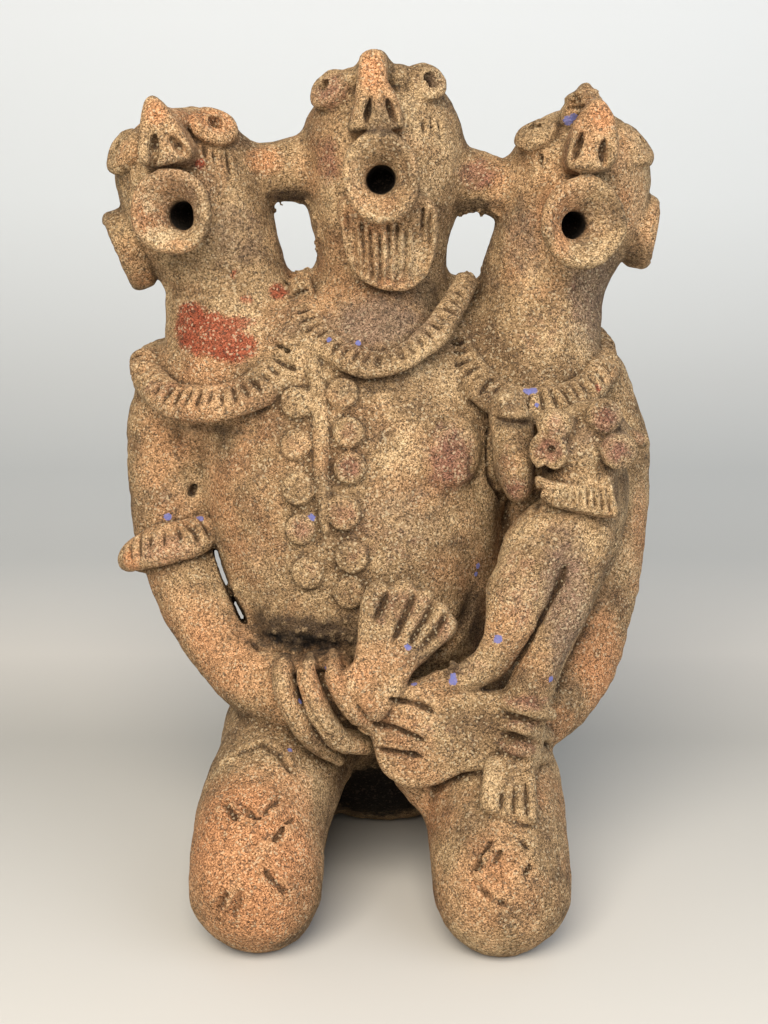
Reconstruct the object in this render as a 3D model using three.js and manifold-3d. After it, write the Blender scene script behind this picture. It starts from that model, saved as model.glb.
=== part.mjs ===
// A hand-modelled terracotta figure of one piece: a kneeling body with three necks, three heads thrown
// back with funnel mouths and disc eyes, notched collars, two rows of chest discs, arms folded over the
// lap and a child carried on one arm. Left and right are as seen from the front, which faces -Y.
// Millimetres, +Z up, standing on z = 0.
import * as THREE from 'three';
import { mergeVertices } from 'three/addons/utils/BufferGeometryUtils.js';
import Module from 'manifold-3d';

const wasm = await Module();
wasm.setup();

// Driving dimensions. The pose and carving are in shares of the height: one unit is a four-hundredth.
const figureHeight = 400;
const unit = figureHeight / 400;
const vector = (x, y, z) => new THREE.Vector3(x, y, z);
const at = (x, y, z) => vector(x, y, z).multiplyScalar(unit);

const neckRadius = 30 * unit; // half the width of each neck above its collar
const skullHalfWidth = { middle: 40 * unit, side: 34.5 * unit };
const mouthRim = { middle: 17 * unit, side: 19.5 * unit }; // outer radius of a funnel mouth
const mouthBore = 5.8 * unit; // radius of the hole at the bottom of a funnel
const boreDepth = 24 * unit; // how far that hole goes in beyond the funnel
const eyeRadius = 11 * unit;
const eyeThickness = 7.5 * unit;
const bridgeRadius = 13.5 * unit; // the bars that join the heads at their ears
const collarReach = 10 * unit; // half the width of a collar's band
const collarSwell = 7 * unit; // half its thickness
const collarNotches = 12;
const notchDepth = 2.2 * unit;
const chestDiscRadius = 6.4 * unit;
const chestDiscRise = 3.2 * unit;
const stripHalfWidth = 4.4 * unit; // the raised strip between the disc rows
const armRadius = 17 * unit;
const fingerRadius = 5.2 * unit;
const braceletRadius = 20 * unit; // centre line of a wrist ring
const braceletThickness = 4.8 * unit; // half the thickness of a wrist ring
const ankleRadius = 10.5 * unit; // of the child, between its anklets
const ankletRadius = 14 * unit; // at the crest of an anklet
const kneeRadius = 32 * unit;
const shinRadius = 22 * unit;
const incisionWidth = 1.6 * unit; // half the width of a cut line
const footTrim = 1.5 * unit; // how much of each rounded underside is flattened to stand on

const front = new THREE.Vector3(0, -1, 0);
const upward = new THREE.Vector3(0, 0, 1);

// Solids

// A closed three.js geometry as a manifold solid, turned outwards if need be.
function solid(geometry) {
  const bare = geometry.clone();
  bare.deleteAttribute('normal');
  bare.deleteAttribute('uv');
  const merged = mergeVertices(bare, 1e-4);
  const corners = [];
  for (let i = 0; i < merged.index.count; i += 3) {
    const [a, b, c] = [0, 1, 2].map((k) => merged.index.getX(i + k));
    if (a !== b && b !== c && a !== c) corners.push(a, b, c);
  }
  const build = (triVerts) =>
    new wasm.Manifold(new wasm.Mesh({
      numProp: 3,
      vertProperties: new Float32Array(merged.attributes.position.array),
      triVerts: new Uint32Array(triVerts),
    }));
  const made = build(corners);
  return made.volume() < 0 ? build(corners.reverse()) : made;
}

const unite = (solids) => solids.reduce((whole, next) => whole.add(next));

// A grid of points, rows by columns, as a geometry. Columns always close on themselves. Rows close on
// themselves too when looped, and otherwise end in a pole point at either end.
function gridGeometry(rows, looped, poles = []) {
  const columns = rows[0].length;
  const points = rows.flat();
  const index = [];
  const spans = looped ? rows.length : rows.length - 1;
  for (let i = 0; i < spans; i++) {
    const next = (i + 1) % rows.length;
    for (let j = 0; j < columns; j++) {
      const k = (j + 1) % columns;
      const [a, b, c, d] = [i * columns + j, i * columns + k, next * columns + k, next * columns + j];
      index.push(a, b, c, a, c, d);
    }
  }
  if (!looped) {
    const last = (rows.length - 1) * columns;
    const [first, end] = [points.length, points.length + 1];
    points.push(...poles);
    for (let j = 0; j < columns; j++) {
      const k = (j + 1) % columns;
      index.push(first, k, j, end, last + j, last + k);
    }
  }
  return new THREE.BufferGeometry().setFromPoints(points).setIndex(index);
}

// A rolled coil of clay through stations [x, y, z, halfWidth, halfDepth] in units, with round ends.
// Its depth is measured along the depth direction, and its width across that and the coil.
function coil(stations, { depth = front, sides = 8, steps = 1, domes = 1, endDomes = domes } = {}) {
  const path = new THREE.CatmullRomCurve3(stations.map(([x, y, z]) => at(x, y, z)));
  const radii = new THREE.CatmullRomCurve3(
    stations.map(([, , , wide, deep = wide]) => new THREE.Vector3(wide, deep, 0).multiplyScalar(unit)),
  );
  const count = (stations.length - 1) * steps;
  const ring = (t, shrink, shift) => {
    const along = path.getTangent(t);
    const deepAxis = depth.clone().addScaledVector(along, -depth.dot(along)).normalize();
    const wideAxis = deepAxis.clone().cross(along);
    const { x: wide, y: deep } = radii.getPoint(t);
    const middle = path.getPoint(t).addScaledVector(along, shift * Math.min(wide, deep));
    if (shrink === 0) return middle;
    return Array.from({ length: sides }, (_, j) => {
      const turn = (2 * Math.PI * j) / sides;
      return middle.clone()
        .addScaledVector(wideAxis, wide * shrink * Math.cos(turn))
        .addScaledVector(deepAxis, deep * shrink * Math.sin(turn));
    });
  };
  const rows = [];
  for (let i = 1; i <= domes; i++) {
    const lift = (Math.PI / 2) * (1 - i / (domes + 1));
    rows.push(ring(0, Math.cos(lift), -Math.sin(lift)));
  }
  for (let i = 0; i <= count; i++) rows.push(ring(i / count, 1, 0));
  for (let i = endDomes; i >= 1; i--) {
    const lift = (Math.PI / 2) * (1 - i / (endDomes + 1));
    rows.push(ring(1, Math.cos(lift), Math.sin(lift)));
  }
  return solid(gridGeometry(rows, false, [ring(0, 0, -1), ring(1, 0, 1)]));
}

function ball([x, y, z], [rx, ry, rz], sides) {
  const geometry = new THREE.SphereGeometry(unit, sides, Math.round(sides * 0.6));
  geometry.rotateX(Math.PI / 2).scale(rx, ry, rz);
  const middle = at(x, y, z);
  return solid(geometry.translate(middle.x, middle.y, middle.z));
}

// A turned shape: profile points [radius, height along the axis], from axis to axis.
function turned(profile, place, axis, sides = 14) {
  const geometry = new THREE.LatheGeometry(profile.map(([r, h]) => new THREE.Vector2(r, h)), sides);
  const pose = new THREE.Quaternion().setFromUnitVectors(vector(0, 1, 0), axis.clone().normalize());
  geometry.applyQuaternion(pose).translate(place.x, place.y, place.z);
  return solid(geometry);
}

// A flat pellet pressed on, its back at the place and its face along the axis.
const pellet = (place, axis, radius, rise, sides = 10) =>
  turned([[0, -rise], [radius, -rise], [radius * 0.93, rise], [0, rise * 1.1]], place, axis, sides);

// A closed band around a loop: middle + across cos + ahead sin. Its section is an oval of half-width
// reach, leaning out and down by lean, and half-thickness swell, cut by radial notches.
function band({ middle, across, ahead, reach, swell, lean = 0, notches = 0, cut = 0, steps = 24 }) {
  const sides = 4;
  const normal = across.clone().cross(ahead).normalize();
  if (normal.z < 0) normal.negate();
  const count = notches ? notches * 2 : steps;
  const rows = Array.from({ length: count }, (_, i) => {
    const turn = (2 * Math.PI * i) / count;
    const spoke = across.clone().multiplyScalar(Math.cos(turn)).addScaledVector(ahead, Math.sin(turn));
    const out = spoke.clone().normalize();
    const long = out.clone().multiplyScalar(Math.cos(lean)).addScaledVector(normal, -Math.sin(lean));
    const short = out.clone().multiplyScalar(Math.sin(lean)).addScaledVector(normal, Math.cos(lean));
    const thick = swell - (notches && i % 2 ? cut : 0);
    return Array.from({ length: sides }, (_, j) => {
      const around = (2 * Math.PI * j) / sides;
      return middle.clone().add(spoke)
        .addScaledVector(long, reach * Math.cos(around))
        .addScaledVector(short, thick * Math.sin(around));
    });
  });
  return solid(gridGeometry(rows, true));
}

// A cut line or groove from one point to another: a thin ridge-shaped bar to take away.
function groove(from, to, halfWidth, halfDepth = halfWidth) {
  const stations = [from, to].map((p) => [...p, halfWidth / unit, halfDepth / unit]);
  return coil(stations, { sides: 4, domes: 0 });
}

// Body

// The belly and chest, a pot shape: [height, middle x, middle y, half width, half depth].
const trunk = [
  [78, -3, 20, 58, 46],
  [108, -8, 6, 63, 51],
  [130, -10, 0, 67, 56],
  [154, -12, -3, 72, 59],
  [188, -14, -2, 76, 58],
  [222, -12, 1, 85, 51],
  [246, -4, 5, 92, 42],
  [270, -1, 10, 84, 25],
  [288, 0, 12, 64, 15],
];

// Where the trunk's front skin lies, in units, at a width x and height z.
function trunkFront(x, z) {
  const top = trunk.findIndex(([height]) => height > z);
  const [low, high] = [trunk[top - 1], trunk[top]];
  const share = (z - low[0]) / (high[0] - low[0]);
  const [, middleX, middleY, wide, deep] = low.map((v, i) => v + (high[i] - v) * share);
  return middleY - deep * Math.sqrt(Math.max(0, 1 - ((x - middleX) / wide) ** 2));
}

function body() {
  const pot = coil(trunk.map(([z, x, y, wide, deep]) => [x, y, z, wide, deep]), { sides: 13, domes: 0 });
  const hips = ball([0, 42, 52], [58, 46, 50], 10);
  const breast = ball([31, trunkFront(31, 219) + 1, 219], [13, 9, 18], 10);
  const hangingBreast = coil([[57, -38, 238, 12, 10], [60, -45, 214, 11, 11], [62, -46, 199, 8, 9]], {
    sides: 7,
  });
  return [pot, hips, breast, hangingBreast];
}

// Two rows of discs either side of a raised strip, lying on the trunk's front and the collars' seats.
const collarSeatFront = -39.5;
const discRows = [
  { xs: [-40, -40, -39, -38, -34], zs: [242, 223, 204, 185, 164] },
  { xs: [-19, -16, -16, -19, -13, -16], zs: [246, 229, 212, 192, 171, 154] },
];

function chestDressing() {
  const skin = (x, z) => Math.min(trunkFront(x, z), collarSeatFront);
  const discs = discRows.flatMap(({ xs, zs }) =>
    xs.map((x, i) => pellet(at(x, skin(x, zs[i]), zs[i]), front, chestDiscRadius, chestDiscRise, 8)));
  const strip = coil([262, 236, 206, 172].map((z, i) => {
    const x = -32 + i * 1.8;
    return [x, skin(x, z) - 0.8, z, stripHalfWidth / unit, 3];
  }), { sides: 6 });
  return [...discs, strip];
}

// Legs

function leg(side, kneeX, kneeHalfWidth) {
  const knee = kneeRadius / unit;
  const shin = shinRadius / unit;
  const thigh = coil([
    [side * 38, 28, 82, 36, 34],
    [side * 44, -20, 72, 35, 33],
    [side * 52, -60, 55, kneeHalfWidth + 2, knee],
    [kneeX, -92, 41, kneeHalfWidth + 1, knee],
    [kneeX, -109, knee - 1, kneeHalfWidth, knee - 1],
  ], { depth: upward, sides: 10 });
  const lower = coil([
    [kneeX, -96, shin, shin + 2, shin],
    [side * 50, -20, shin - 2, shin, shin],
    [side * 45, 50, shin - 3, shin - 3, shin - 3],
    [side * 40, 92, shin - 7, shin - 6, shin - 7],
  ], { depth: upward, domes: 0 });
  const sole = coil([[side * 40, 84, 19, 15, 13], [side * 35, 110, 15, 18, 8]], { depth: upward });
  return [thigh, lower, sole];
}

// Arms and hands

const arm = armRadius / unit;
const leftArmPath = [
  [-97, 4, 240, arm + 7, arm + 4], [-101, 0, 212, arm + 10, arm + 2], [-106, -6, 180, arm + 4, arm],
  [-98, -17, 148, arm],
  [-78, -35, 121, arm + 1], [-50, -55, 104, arm + 1], [-24, -68, 108, arm - 2],
];
const rightArmPath = [
  [95, 6, 238, arm + 10, arm + 8], [99, -2, 210, arm + 15, arm + 5], [94, -8, 176, arm + 20, arm + 6],
  [90, -18, 142, arm + 17, arm + 6], [88, -36, 112, arm + 6, arm + 3], [73, -53, 94, arm],
  [50, -65, 88, arm - 2],
];

// A hand as a flat fan of clay along stations, widening to the fingertips.
const leftHandFan = [
  [-20, -70, 104, 13, 10], [-8, -76, 120, 16, 10], [4, -76, 137, 19.5, 8], [11, -73, 150, 21, 6],
];
const rightHandFan = [
  [56, -70, 88, 15, 11], [36, -76, 90, 18, 10], [18, -79, 89, 19, 8], [7, -80, 88, 17, 6],
];

// The grooves that part a fan's fingers, from the tips inwards, spaced evenly across it.
function fingerGrooves(fan, fingers, length) {
  const [[x0, , z0], [x1, y1, z1, halfWidth]] = fan.slice(-2);
  const along = vector(x1 - x0, 0, z1 - z0).normalize();
  const across = vector(along.z, 0, -along.x);
  const place = (offset, ahead, y) => [x1 + across.x * offset + along.x * ahead, y,
    z1 + across.z * offset + along.z * ahead];
  return Array.from({ length: fingers - 1 }, (_, i) => {
    const offset = halfWidth * ((2 * (i + 1)) / fingers - 1);
    return groove(place(offset, 9, y1 - 6), place(offset * 0.7, -length, y1 - 11.5), 1.3 * unit, 4 * unit);
  });
}

function ring(centre, axis, radius, thick, steps = 12) {
  const across = front.clone().cross(axis).normalize();
  const ahead = axis.clone().cross(across).normalize();
  return band({
    middle: at(...centre),
    across: across.multiplyScalar(radius),
    ahead: ahead.multiplyScalar(radius),
    reach: thick,
    swell: thick * 0.85,
    steps,
  });
}

function armsAndHands() {
  const wristAxis = vector(0.9, -0.22, 0.36);
  return [
    coil(leftArmPath, { sides: 9, endDomes: 0 }),
    coil(rightArmPath, { sides: 9, endDomes: 0 }),
    coil(leftHandFan, { sides: 10 }),
    coil(rightHandFan, { sides: 9 }),
    coil([[-24, -70, 126, 8, 9], [-3, -78, 100, 7, 8]], { sides: 7 }),
    ring([-33, -66, 102], wristAxis, braceletRadius, braceletThickness),
    ring([-20, -70, 106], wristAxis, braceletRadius - 1 * unit, braceletThickness),
    band({
      middle: at(-106, -10, 163),
      across: at(17, 0, 7),
      ahead: at(0, -16.5, 3),
      reach: 7.5 * unit,
      swell: 8 * unit,
      lean: 0.4,
      notches: 9,
      cut: notchDepth,
    }),
  ];
}

// Necks, heads and collars

const sideSkull = skullHalfWidth.side / unit;
const middleSkull = skullHalfWidth.middle / unit;
const neck = neckRadius / unit;

const heads = [
  {
    rise: [
      [-76, 0, 246, neck + 8, 36], [-74, 2, 266, neck + 3, 32], [-77, 4, 296, neck, 28],
      [-86, 5, 319, neck + 1, 33], [-94, 4, 341, sideSkull, 39],
    ],
    mouth: { place: [-95, -46, 326], axis: vector(-0.2, -1, 0.02), rim: mouthRim.side },
    nose: { tip: [-102, -38, 374], ridge: [-98, -4, 372], base: [-98, -34, 347], spread: 12 },
    nostrils: [[-105, -47, 355], [-91, -47, 358]],
    eyes: [
      { place: [-122, -6, 355], axis: vector(-0.85, -0.3, 0.45) },
      { place: [-80, -10, 367], axis: vector(0.28, -0.5, 0.82) },
    ],
    ear: { place: [-120, 8, 311], axis: vector(-0.92, -0.12, -0.36) },
    collar: { middle: at(-78, -1, 257), across: at(39, 0, 10), ahead: at(0, -41, -19) },
  },
  {
    rise: [
      [-2, -3, 256, neck + 4, 36], [-2, 0, 274, neck + 3, 33], [-1, 5, 296, neck + 1, 30],
      [0, 8, 322, neck + 6, 38], [0, 9, 355, middleSkull, 45],
    ],
    mouth: { place: [-3, -48, 341], axis: vector(0.02, -1, 0), rim: mouthRim.middle },
    nose: { tip: [-5, -36, 396], ridge: [-2, 0, 394], base: [-2, -33, 366], spread: 12 },
    nostrils: [[-8, -44, 371], [3, -44, 371]],
    eyes: [
      { place: [-26, -9, 383], axis: vector(-0.5, -0.75, 0.4) },
      { place: [20, -9, 387], axis: vector(0.4, -0.65, 0.6) },
    ],
    collar: { middle: at(-2, 2, 288), across: at(38, 0, 1), ahead: at(0, -46, -30) },
  },
  {
    rise: [
      [73, 0, 246, neck + 8, 36], [74, 2, 266, neck + 2, 32], [79, 4, 296, neck, 28],
      [87, 5, 318, neck + 2, 33], [93, 4, 340, sideSkull + 1, 39],
    ],
    mouth: { place: [91, -46, 323], axis: vector(0.16, -1, 0), rim: mouthRim.side },
    nose: { tip: [96, -38, 371], ridge: [93, -12, 379], base: [93, -34, 350], spread: 12 },
    nostrils: [[86, -47, 355], [99, -47, 353]],
    eyes: [
      { place: [73, -8, 361], axis: vector(-0.32, -0.5, 0.8) },
      { place: [117, -8, 358], axis: vector(0.75, -0.3, 0.6) },
    ],
    ear: { place: [120, 8, 318], axis: vector(0.98, -0.05, -0.12) },
    collar: { middle: at(72, -1, 256), across: at(38, 0, -5), ahead: at(0, -41, -18) },
  },
];

function headSolids({ rise, mouth, nose, eyes, ear }) {
  const neckAndSkull = coil(rise, { sides: 11, domes: 0, endDomes: 2 });
  const length = 30 * unit;
  const mouthEnd = at(...mouth.place);
  const inside = mouthEnd.clone().addScaledVector(mouth.axis.clone().normalize(), -length);
  const funnel = turned([
    [0, 0], [mouth.rim * 0.85, 0], [mouth.rim, length * 0.94], [mouth.rim * 0.86, length], [0, length],
  ], inside, mouth.axis, 12);
  const noseBody = coil([
    [...nose.tip, 4.5, 5], [...middleOf(nose.tip, nose.base, 0.5), 9, 8.5], [...nose.base, nose.spread, 7],
  ], { sides: 7 });
  const noseRidge = coil([[...nose.tip, 5, 5], [...nose.ridge, 7, 7]], { depth: upward, sides: 6 });
  const eyeDiscs = eyes.map((eye) => pellet(at(...eye.place), eye.axis, eyeRadius, eyeThickness * 0.6, 8));
  const parts = [neckAndSkull, funnel, noseBody, noseRidge, ...eyeDiscs];
  if (ear) parts.push(pellet(at(...ear.place), ear.axis, 19 * unit, 13 * unit, 9));
  return parts;
}

function headCuts({ mouth, nostrils }) {
  const cone = mouth.rim * 0.6;
  const inward = mouth.axis.clone().normalize().negate();
  const outside = at(...mouth.place).addScaledVector(inward, -3 * unit);
  const mouthCut = turned([
    [0, 0], [mouth.rim * 0.9, 0], [mouth.rim * 0.66, 4 * unit], [mouthBore, 3 * unit + cone],
    [mouthBore, 3 * unit + cone + boreDepth], [0, 3 * unit + cone + boreDepth],
  ], outside, inward, 10);
  const slits = nostrils.map(([x, y, z]) =>
    groove([x + 0.6, y, z + 4], [x - 0.6, y, z - 4], 1.8 * unit, 5 * unit));
  return [mouthCut, ...slits];
}

function middleOf(a, b, share) {
  return a.map((v, i) => v + (b[i] - v) * share);
}

function bridges() {
  const bar = bridgeRadius / unit;
  return [
    coil([[-72, 6, 346, bar + 1], [-52, 6, 347, bar - 1], [-30, 8, 348, bar + 1]], { sides: 8, domes: 0 }),
    coil([[30, 8, 343, bar + 1], [50, 6, 342, bar - 1], [70, 6, 342, bar + 1]], { sides: 8, domes: 0 }),
  ];
}

// The beard under the middle mouth: a flat tongue of clay combed into strands.
const beardStrands = 6;
function beard() {
  return coil([[3, -34, 334, 20, 7], [4, -34, 314, 22, 7], [3, -31, 300, 17, 6]], { sides: 8 });
}

function beardCuts() {
  return Array.from({ length: beardStrands - 1 }, (_, i) => {
    const x = 3 + (i - (beardStrands - 2) / 2) * 6.6;
    const drop = 297 + Math.abs(x - 3) * 0.35;
    return groove([x, -42, 326], [x * 0.85, -38.5, drop], incisionWidth * 0.8, 3 * unit);
  });
}

const collars = () => heads.map(({ collar }) => band({
  ...collar,
  reach: collarReach,
  swell: collarSwell,
  lean: 0.75,
  notches: collarNotches,
  cut: notchDepth,
}));

// The child on the right arm

const childBody = [
  [92, -58, 210, 18, 14], [88, -60, 186, 24, 18], [80, -60, 164, 21, 17], [72, -58, 148, 14, 13],
];
const childTuckedLeg = [
  [68, -62, 178, 14], [60, -72, 158, 15], [52, -76, 142, 13.5], [38, -76, 124, 11], [20, -74, 104, 8],
];
const childFoot = [[64, -84, 88, 9, 8], [60, -92, 74, 12, 8], [58, -102, 64, 13, 6]];

function child() {
  const anklets = [104, 95.5, 87].flatMap((z, i) => [[4, ankleRadius], [0, ankletRadius], [-4, ankleRadius]]
    .map(([lift, radius]) => [66 - i, -82, z + lift, radius / unit]));
  return [
    ball([91, -58, 232], [24, 20, 20], 9),
    pellet(at(75, -74, 226), vector(-0.35, -0.9, -0.05), 8 * unit, 4.5 * unit, 8),
    pellet(at(99, -76, 226), vector(0.1, -1, -0.05), 7.5 * unit, 3.5 * unit, 8),
    pellet(at(96, -72, 241), vector(0.1, -0.9, 0.35), 7 * unit, 4 * unit, 8),
    coil([[106, -52, 230, 8, 8], [117, -52, 226, 5, 7]], { sides: 6 }),
    band({
      middle: at(88, -62, 208),
      across: at(17, 0, -3),
      ahead: at(0, -12, -2),
      reach: 7 * unit,
      swell: 5 * unit,
      lean: 0.9,
      notches: 9,
      cut: notchDepth * 0.8,
    }),
    coil(childBody, { sides: 9, domes: 0 }),
    coil(childTuckedLeg, { domes: 0 }),
    coil([[98, -66, 182, 10], [77, -80, 134, 9], ...anklets, [63, -82, 78, 9]], { domes: 0 }),
    coil(childFoot),
  ];
}

function childCuts() {
  return [-5, 0.5, 6].map((x) =>
    groove([58 + x, -108, 74], [57 + x * 1.2, -112, 60], incisionWidth * 0.8, 3 * unit));
}

// The whole figure

const raised = unite([
  ...body(),
  ...chestDressing(),
  ...leg(-1, -58, 30),
  ...leg(1, 53, 32),
  ...armsAndHands(),
  ...heads.flatMap(headSolids),
  ...bridges(),
  beard(),
  ...collars(),
  ...child(),
]);

const cuts = [
  ...heads.flatMap(headCuts),
  ...beardCuts(),
  ...fingerGrooves(leftHandFan, 5, 20),
  ...fingerGrooves(rightHandFan, 4, 14),
  ...childCuts(),
];
const floorBlock = new THREE.BoxGeometry(figureHeight * 2, figureHeight * 2, figureHeight);
floorBlock.translate(0, 0, footTrim - figureHeight / 2);

const carved = cuts.reduce((whole, cut) => whole.subtract(cut), raised).subtract(solid(floorBlock));

function meshOf(shape, name, material) {
  const { vertProperties, triVerts } = shape.getMesh();
  const geometry = new THREE.BufferGeometry();
  geometry.setAttribute('position', new THREE.BufferAttribute(vertProperties, 3));
  geometry.setIndex(new THREE.BufferAttribute(triVerts, 1));
  geometry.computeBoundingBox();
  const middle = geometry.boundingBox.getCenter(new THREE.Vector3());
  geometry.translate(-middle.x, -middle.y, -footTrim);
  geometry.computeVertexNormals();
  const mesh = new THREE.Mesh(geometry, material);
  mesh.name = name;
  return mesh;
}

const terracotta = new THREE.MeshStandardMaterial({ color: '#a8805c', roughness: 0.95, metalness: 0 });

const figure = new THREE.Group();
figure.add(meshOf(carved, 'kneeling_figure', terracotta));

export default figure;
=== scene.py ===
import math
import bmesh
import bpy
import numpy as np
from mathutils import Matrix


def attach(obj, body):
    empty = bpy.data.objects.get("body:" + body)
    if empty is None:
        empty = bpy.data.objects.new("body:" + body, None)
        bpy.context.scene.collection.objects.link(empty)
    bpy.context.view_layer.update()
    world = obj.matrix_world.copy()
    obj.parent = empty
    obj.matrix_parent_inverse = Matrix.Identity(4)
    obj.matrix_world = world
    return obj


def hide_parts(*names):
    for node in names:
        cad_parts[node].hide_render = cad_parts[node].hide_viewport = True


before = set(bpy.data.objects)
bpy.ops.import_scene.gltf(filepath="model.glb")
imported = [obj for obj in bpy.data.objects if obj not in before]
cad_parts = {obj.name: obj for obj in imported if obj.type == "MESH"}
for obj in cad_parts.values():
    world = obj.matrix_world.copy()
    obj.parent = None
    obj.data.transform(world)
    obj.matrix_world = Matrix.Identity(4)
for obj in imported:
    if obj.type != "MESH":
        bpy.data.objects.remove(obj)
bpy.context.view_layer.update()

import openvdb as vdb
from mathutils import Vector

# The figure is modelled as clay: a block of small cells holds the distance to the skin, rolls, drums and
# bands of clay are pressed onto it, lines are cut out of it, and the skin is meshed at the end.
# Lengths are in mm, with x = y = 0 on the axis of the belly. Left and right are the viewer's.

toFrame = np.array((1.8, 10.3, -1.5))  # from the figure's own axes to the frame's

clayBlock = {
    "cell": 1.1,          # size of a cell
    "quickCell": 2.0,
    "low": (-146, -148, -4),
    "high": (142, 128, 407),
    "triangles": 194000,  # most that the finished mesh may have
}

cell = clayBlock["cell"]
blockLow = np.array(clayBlock["low"], float)
blockCount = ((np.array(clayBlock["high"]) - blockLow) / cell).astype(int) + 1
clay = np.full(blockCount, 12.0, np.float32)
front = np.array((0.0, -1.0, 0.0))


def unit(v):
    v = np.array(v, float)
    return v / np.linalg.norm(v)


def cellsAround(low, high):  # index slices of the cells in a box, and their coordinates
    first = np.clip(np.floor((np.array(low) - blockLow) / cell).astype(int), 0, blockCount - 2)
    last = np.clip(np.ceil((np.array(high) - blockLow) / cell).astype(int) + 1, first + 2, blockCount)
    axes = [(blockLow[i] + cell * np.arange(first[i], last[i])).astype(np.float32) for i in range(3)]
    return tuple(slice(a, b) for a, b in zip(first, last)), np.meshgrid(*axes, indexing="ij", sparse=True)


def smoothPath(stations, fine, closed=False):  # Catmull-Rom through stations of any width
    p = np.array(stations, float)
    ends = np.vstack([p[-1:], p, p[:2]]) if closed else np.vstack([2 * p[0] - p[1], p, 2 * p[-1] - p[-2]])
    out = []
    for a, b, c, d in zip(ends[:-3], ends[1:-2], ends[2:-1], ends[3:]):
        for t in np.linspace(0, 1, fine, endpoint=False):
            out.append(b + 0.5 * t * (c - a + t * (2 * a - 5 * b + 4 * c - d + t * (3 * (b - c) + d - a))))
    return np.array(out if closed else out + [p[-1]])


def ovalDistance(u, v, w, a, b, c):  # near distance to an oval with half axes a, b and c
    near = np.sqrt((u / a) ** 2 + (v / b) ** 2 + (w / c) ** 2)
    slope = np.sqrt((u / a ** 2) ** 2 + (v / b ** 2) ** 2 + (w / c ** 2) ** 2)
    return near * (near - 1) / np.maximum(slope, 1e-5)


def roll(stations, deep=front, fine=4, margin=8, axes=None, closed=False):
    # a coil of clay through stations (x, y, z, half width, half depth)
    path = smoothPath([list(s) + [s[3]] * (5 - len(s)) for s in stations], fine, closed)
    if closed:
        path = np.vstack([path, path[:1]])
    path[:, 3:] = np.maximum(path[:, 3:], 0.5)
    reach = path[:, 3:].max() + margin
    part, _ = cellsAround((path[:, :3] - reach).min(0), (path[:, :3] + reach).max(0))
    distance = np.full([s.stop - s.start for s in part], 1e3, np.float32)
    for n, (start, end) in enumerate(zip(path[:-1], path[1:])):
        span = end[:3] - start[:3]
        length = np.linalg.norm(span)
        if length < 1e-6:
            continue
        along = span / length
        size = max(start[3:].max(), end[3:].max()) + margin
        low, high = np.minimum(start[:3], end[:3]) - size, np.maximum(start[:3], end[:3]) + size
        bit, (x, y, z) = cellsAround(low, high)
        if axes is None:
            deepAxis = unit(np.array(deep) - along * np.dot(deep, along))
            wideAxis = np.cross(deepAxis, along)
        else:
            wideAxis, deepAxis = axes[n % len(axes)]
        px, py, pz = x - start[0], y - start[1], z - start[2]
        t = np.clip((px * along[0] + py * along[1] + pz * along[2]) / length, 0, 1)
        px, py, pz = px - t * span[0], py - t * span[1], pz - t * span[2]
        a = start[3] + t * (end[3] - start[3])
        b = start[4] + t * (end[4] - start[4])
        d = ovalDistance(
            px * wideAxis[0] + py * wideAxis[1] + pz * wideAxis[2],
            px * deepAxis[0] + py * deepAxis[1] + pz * deepAxis[2],
            px * along[0] + py * along[1] + pz * along[2], a, b, np.minimum(a, b))
        inner = tuple(slice(s.start - o.start, s.stop - o.start) for s, o in zip(bit, part))
        np.minimum(distance[inner], d, out=distance[inner])
    return part, distance


def turned(place, axis, reach, profile, squeeze=(1, 1), margin=7):
    # a shape about an axis: profile(radius, height) gives the distance, squeeze widens it sideways or upright
    axis = unit(axis)
    side = unit(np.cross(axis, (0, 0, 1)) if abs(axis[2]) < 0.95 else np.cross(axis, (0, 1, 0)))
    rise = np.cross(side, axis)
    part, (x, y, z) = cellsAround(np.array(place) - reach - margin, np.array(place) + reach + margin)
    px, py, pz = x - place[0], y - place[1], z - place[2]
    height = px * axis[0] + py * axis[1] + pz * axis[2]
    across = (px * side[0] + py * side[1] + pz * side[2]) / squeeze[0]
    upright = (px * rise[0] + py * rise[1] + pz * rise[2]) / squeeze[1]
    return part, profile(np.sqrt(across ** 2 + upright ** 2), height).astype(np.float32)


def roundedEdge(outR, outH, rounding):  # distance to a flat piece, from how far out a point is each way
    outside = np.hypot(np.maximum(outR, 0), np.maximum(outH, 0))
    return outside + np.minimum(np.maximum(outR, outH), 0) - rounding


def drum(place, axis, radius, thick, rounding):  # a disc with round edges
    def profile(r, h):
        return roundedEdge(r - radius + rounding, np.abs(h) - thick + rounding, rounding)
    return turned(place, axis, max(radius, thick), profile)


def join(shape, blend):  # press clay on, with the seam smoothed over this width
    part, d = shape
    old = clay[part]
    soft = np.maximum(blend - np.abs(old - d), 0) / blend
    clay[part] = np.minimum(old, d) - soft * soft * blend * 0.25


def cut(shape, blend=0.8):
    part, d = shape
    old = clay[part]
    soft = np.maximum(blend - np.abs(old + d), 0) / blend
    clay[part] = np.maximum(old, -d) + soft * soft * blend * 0.25


def sample(points, block=None):  # the block's value at points, between the cells
    block = clay if block is None else block
    q = (np.atleast_2d(points) - blockLow) / cell
    i = np.clip(np.floor(q).astype(int), 0, blockCount - 2)
    f = q - i
    value = 0
    for corner in np.ndindex(2, 2, 2):
        weight = np.prod([f[:, k] if corner[k] else 1 - f[:, k] for k in range(3)], axis=0)
        value = value + weight * block[i[:, 0] + corner[0], i[:, 1] + corner[1], i[:, 2] + corner[2]]
    return value


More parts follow.
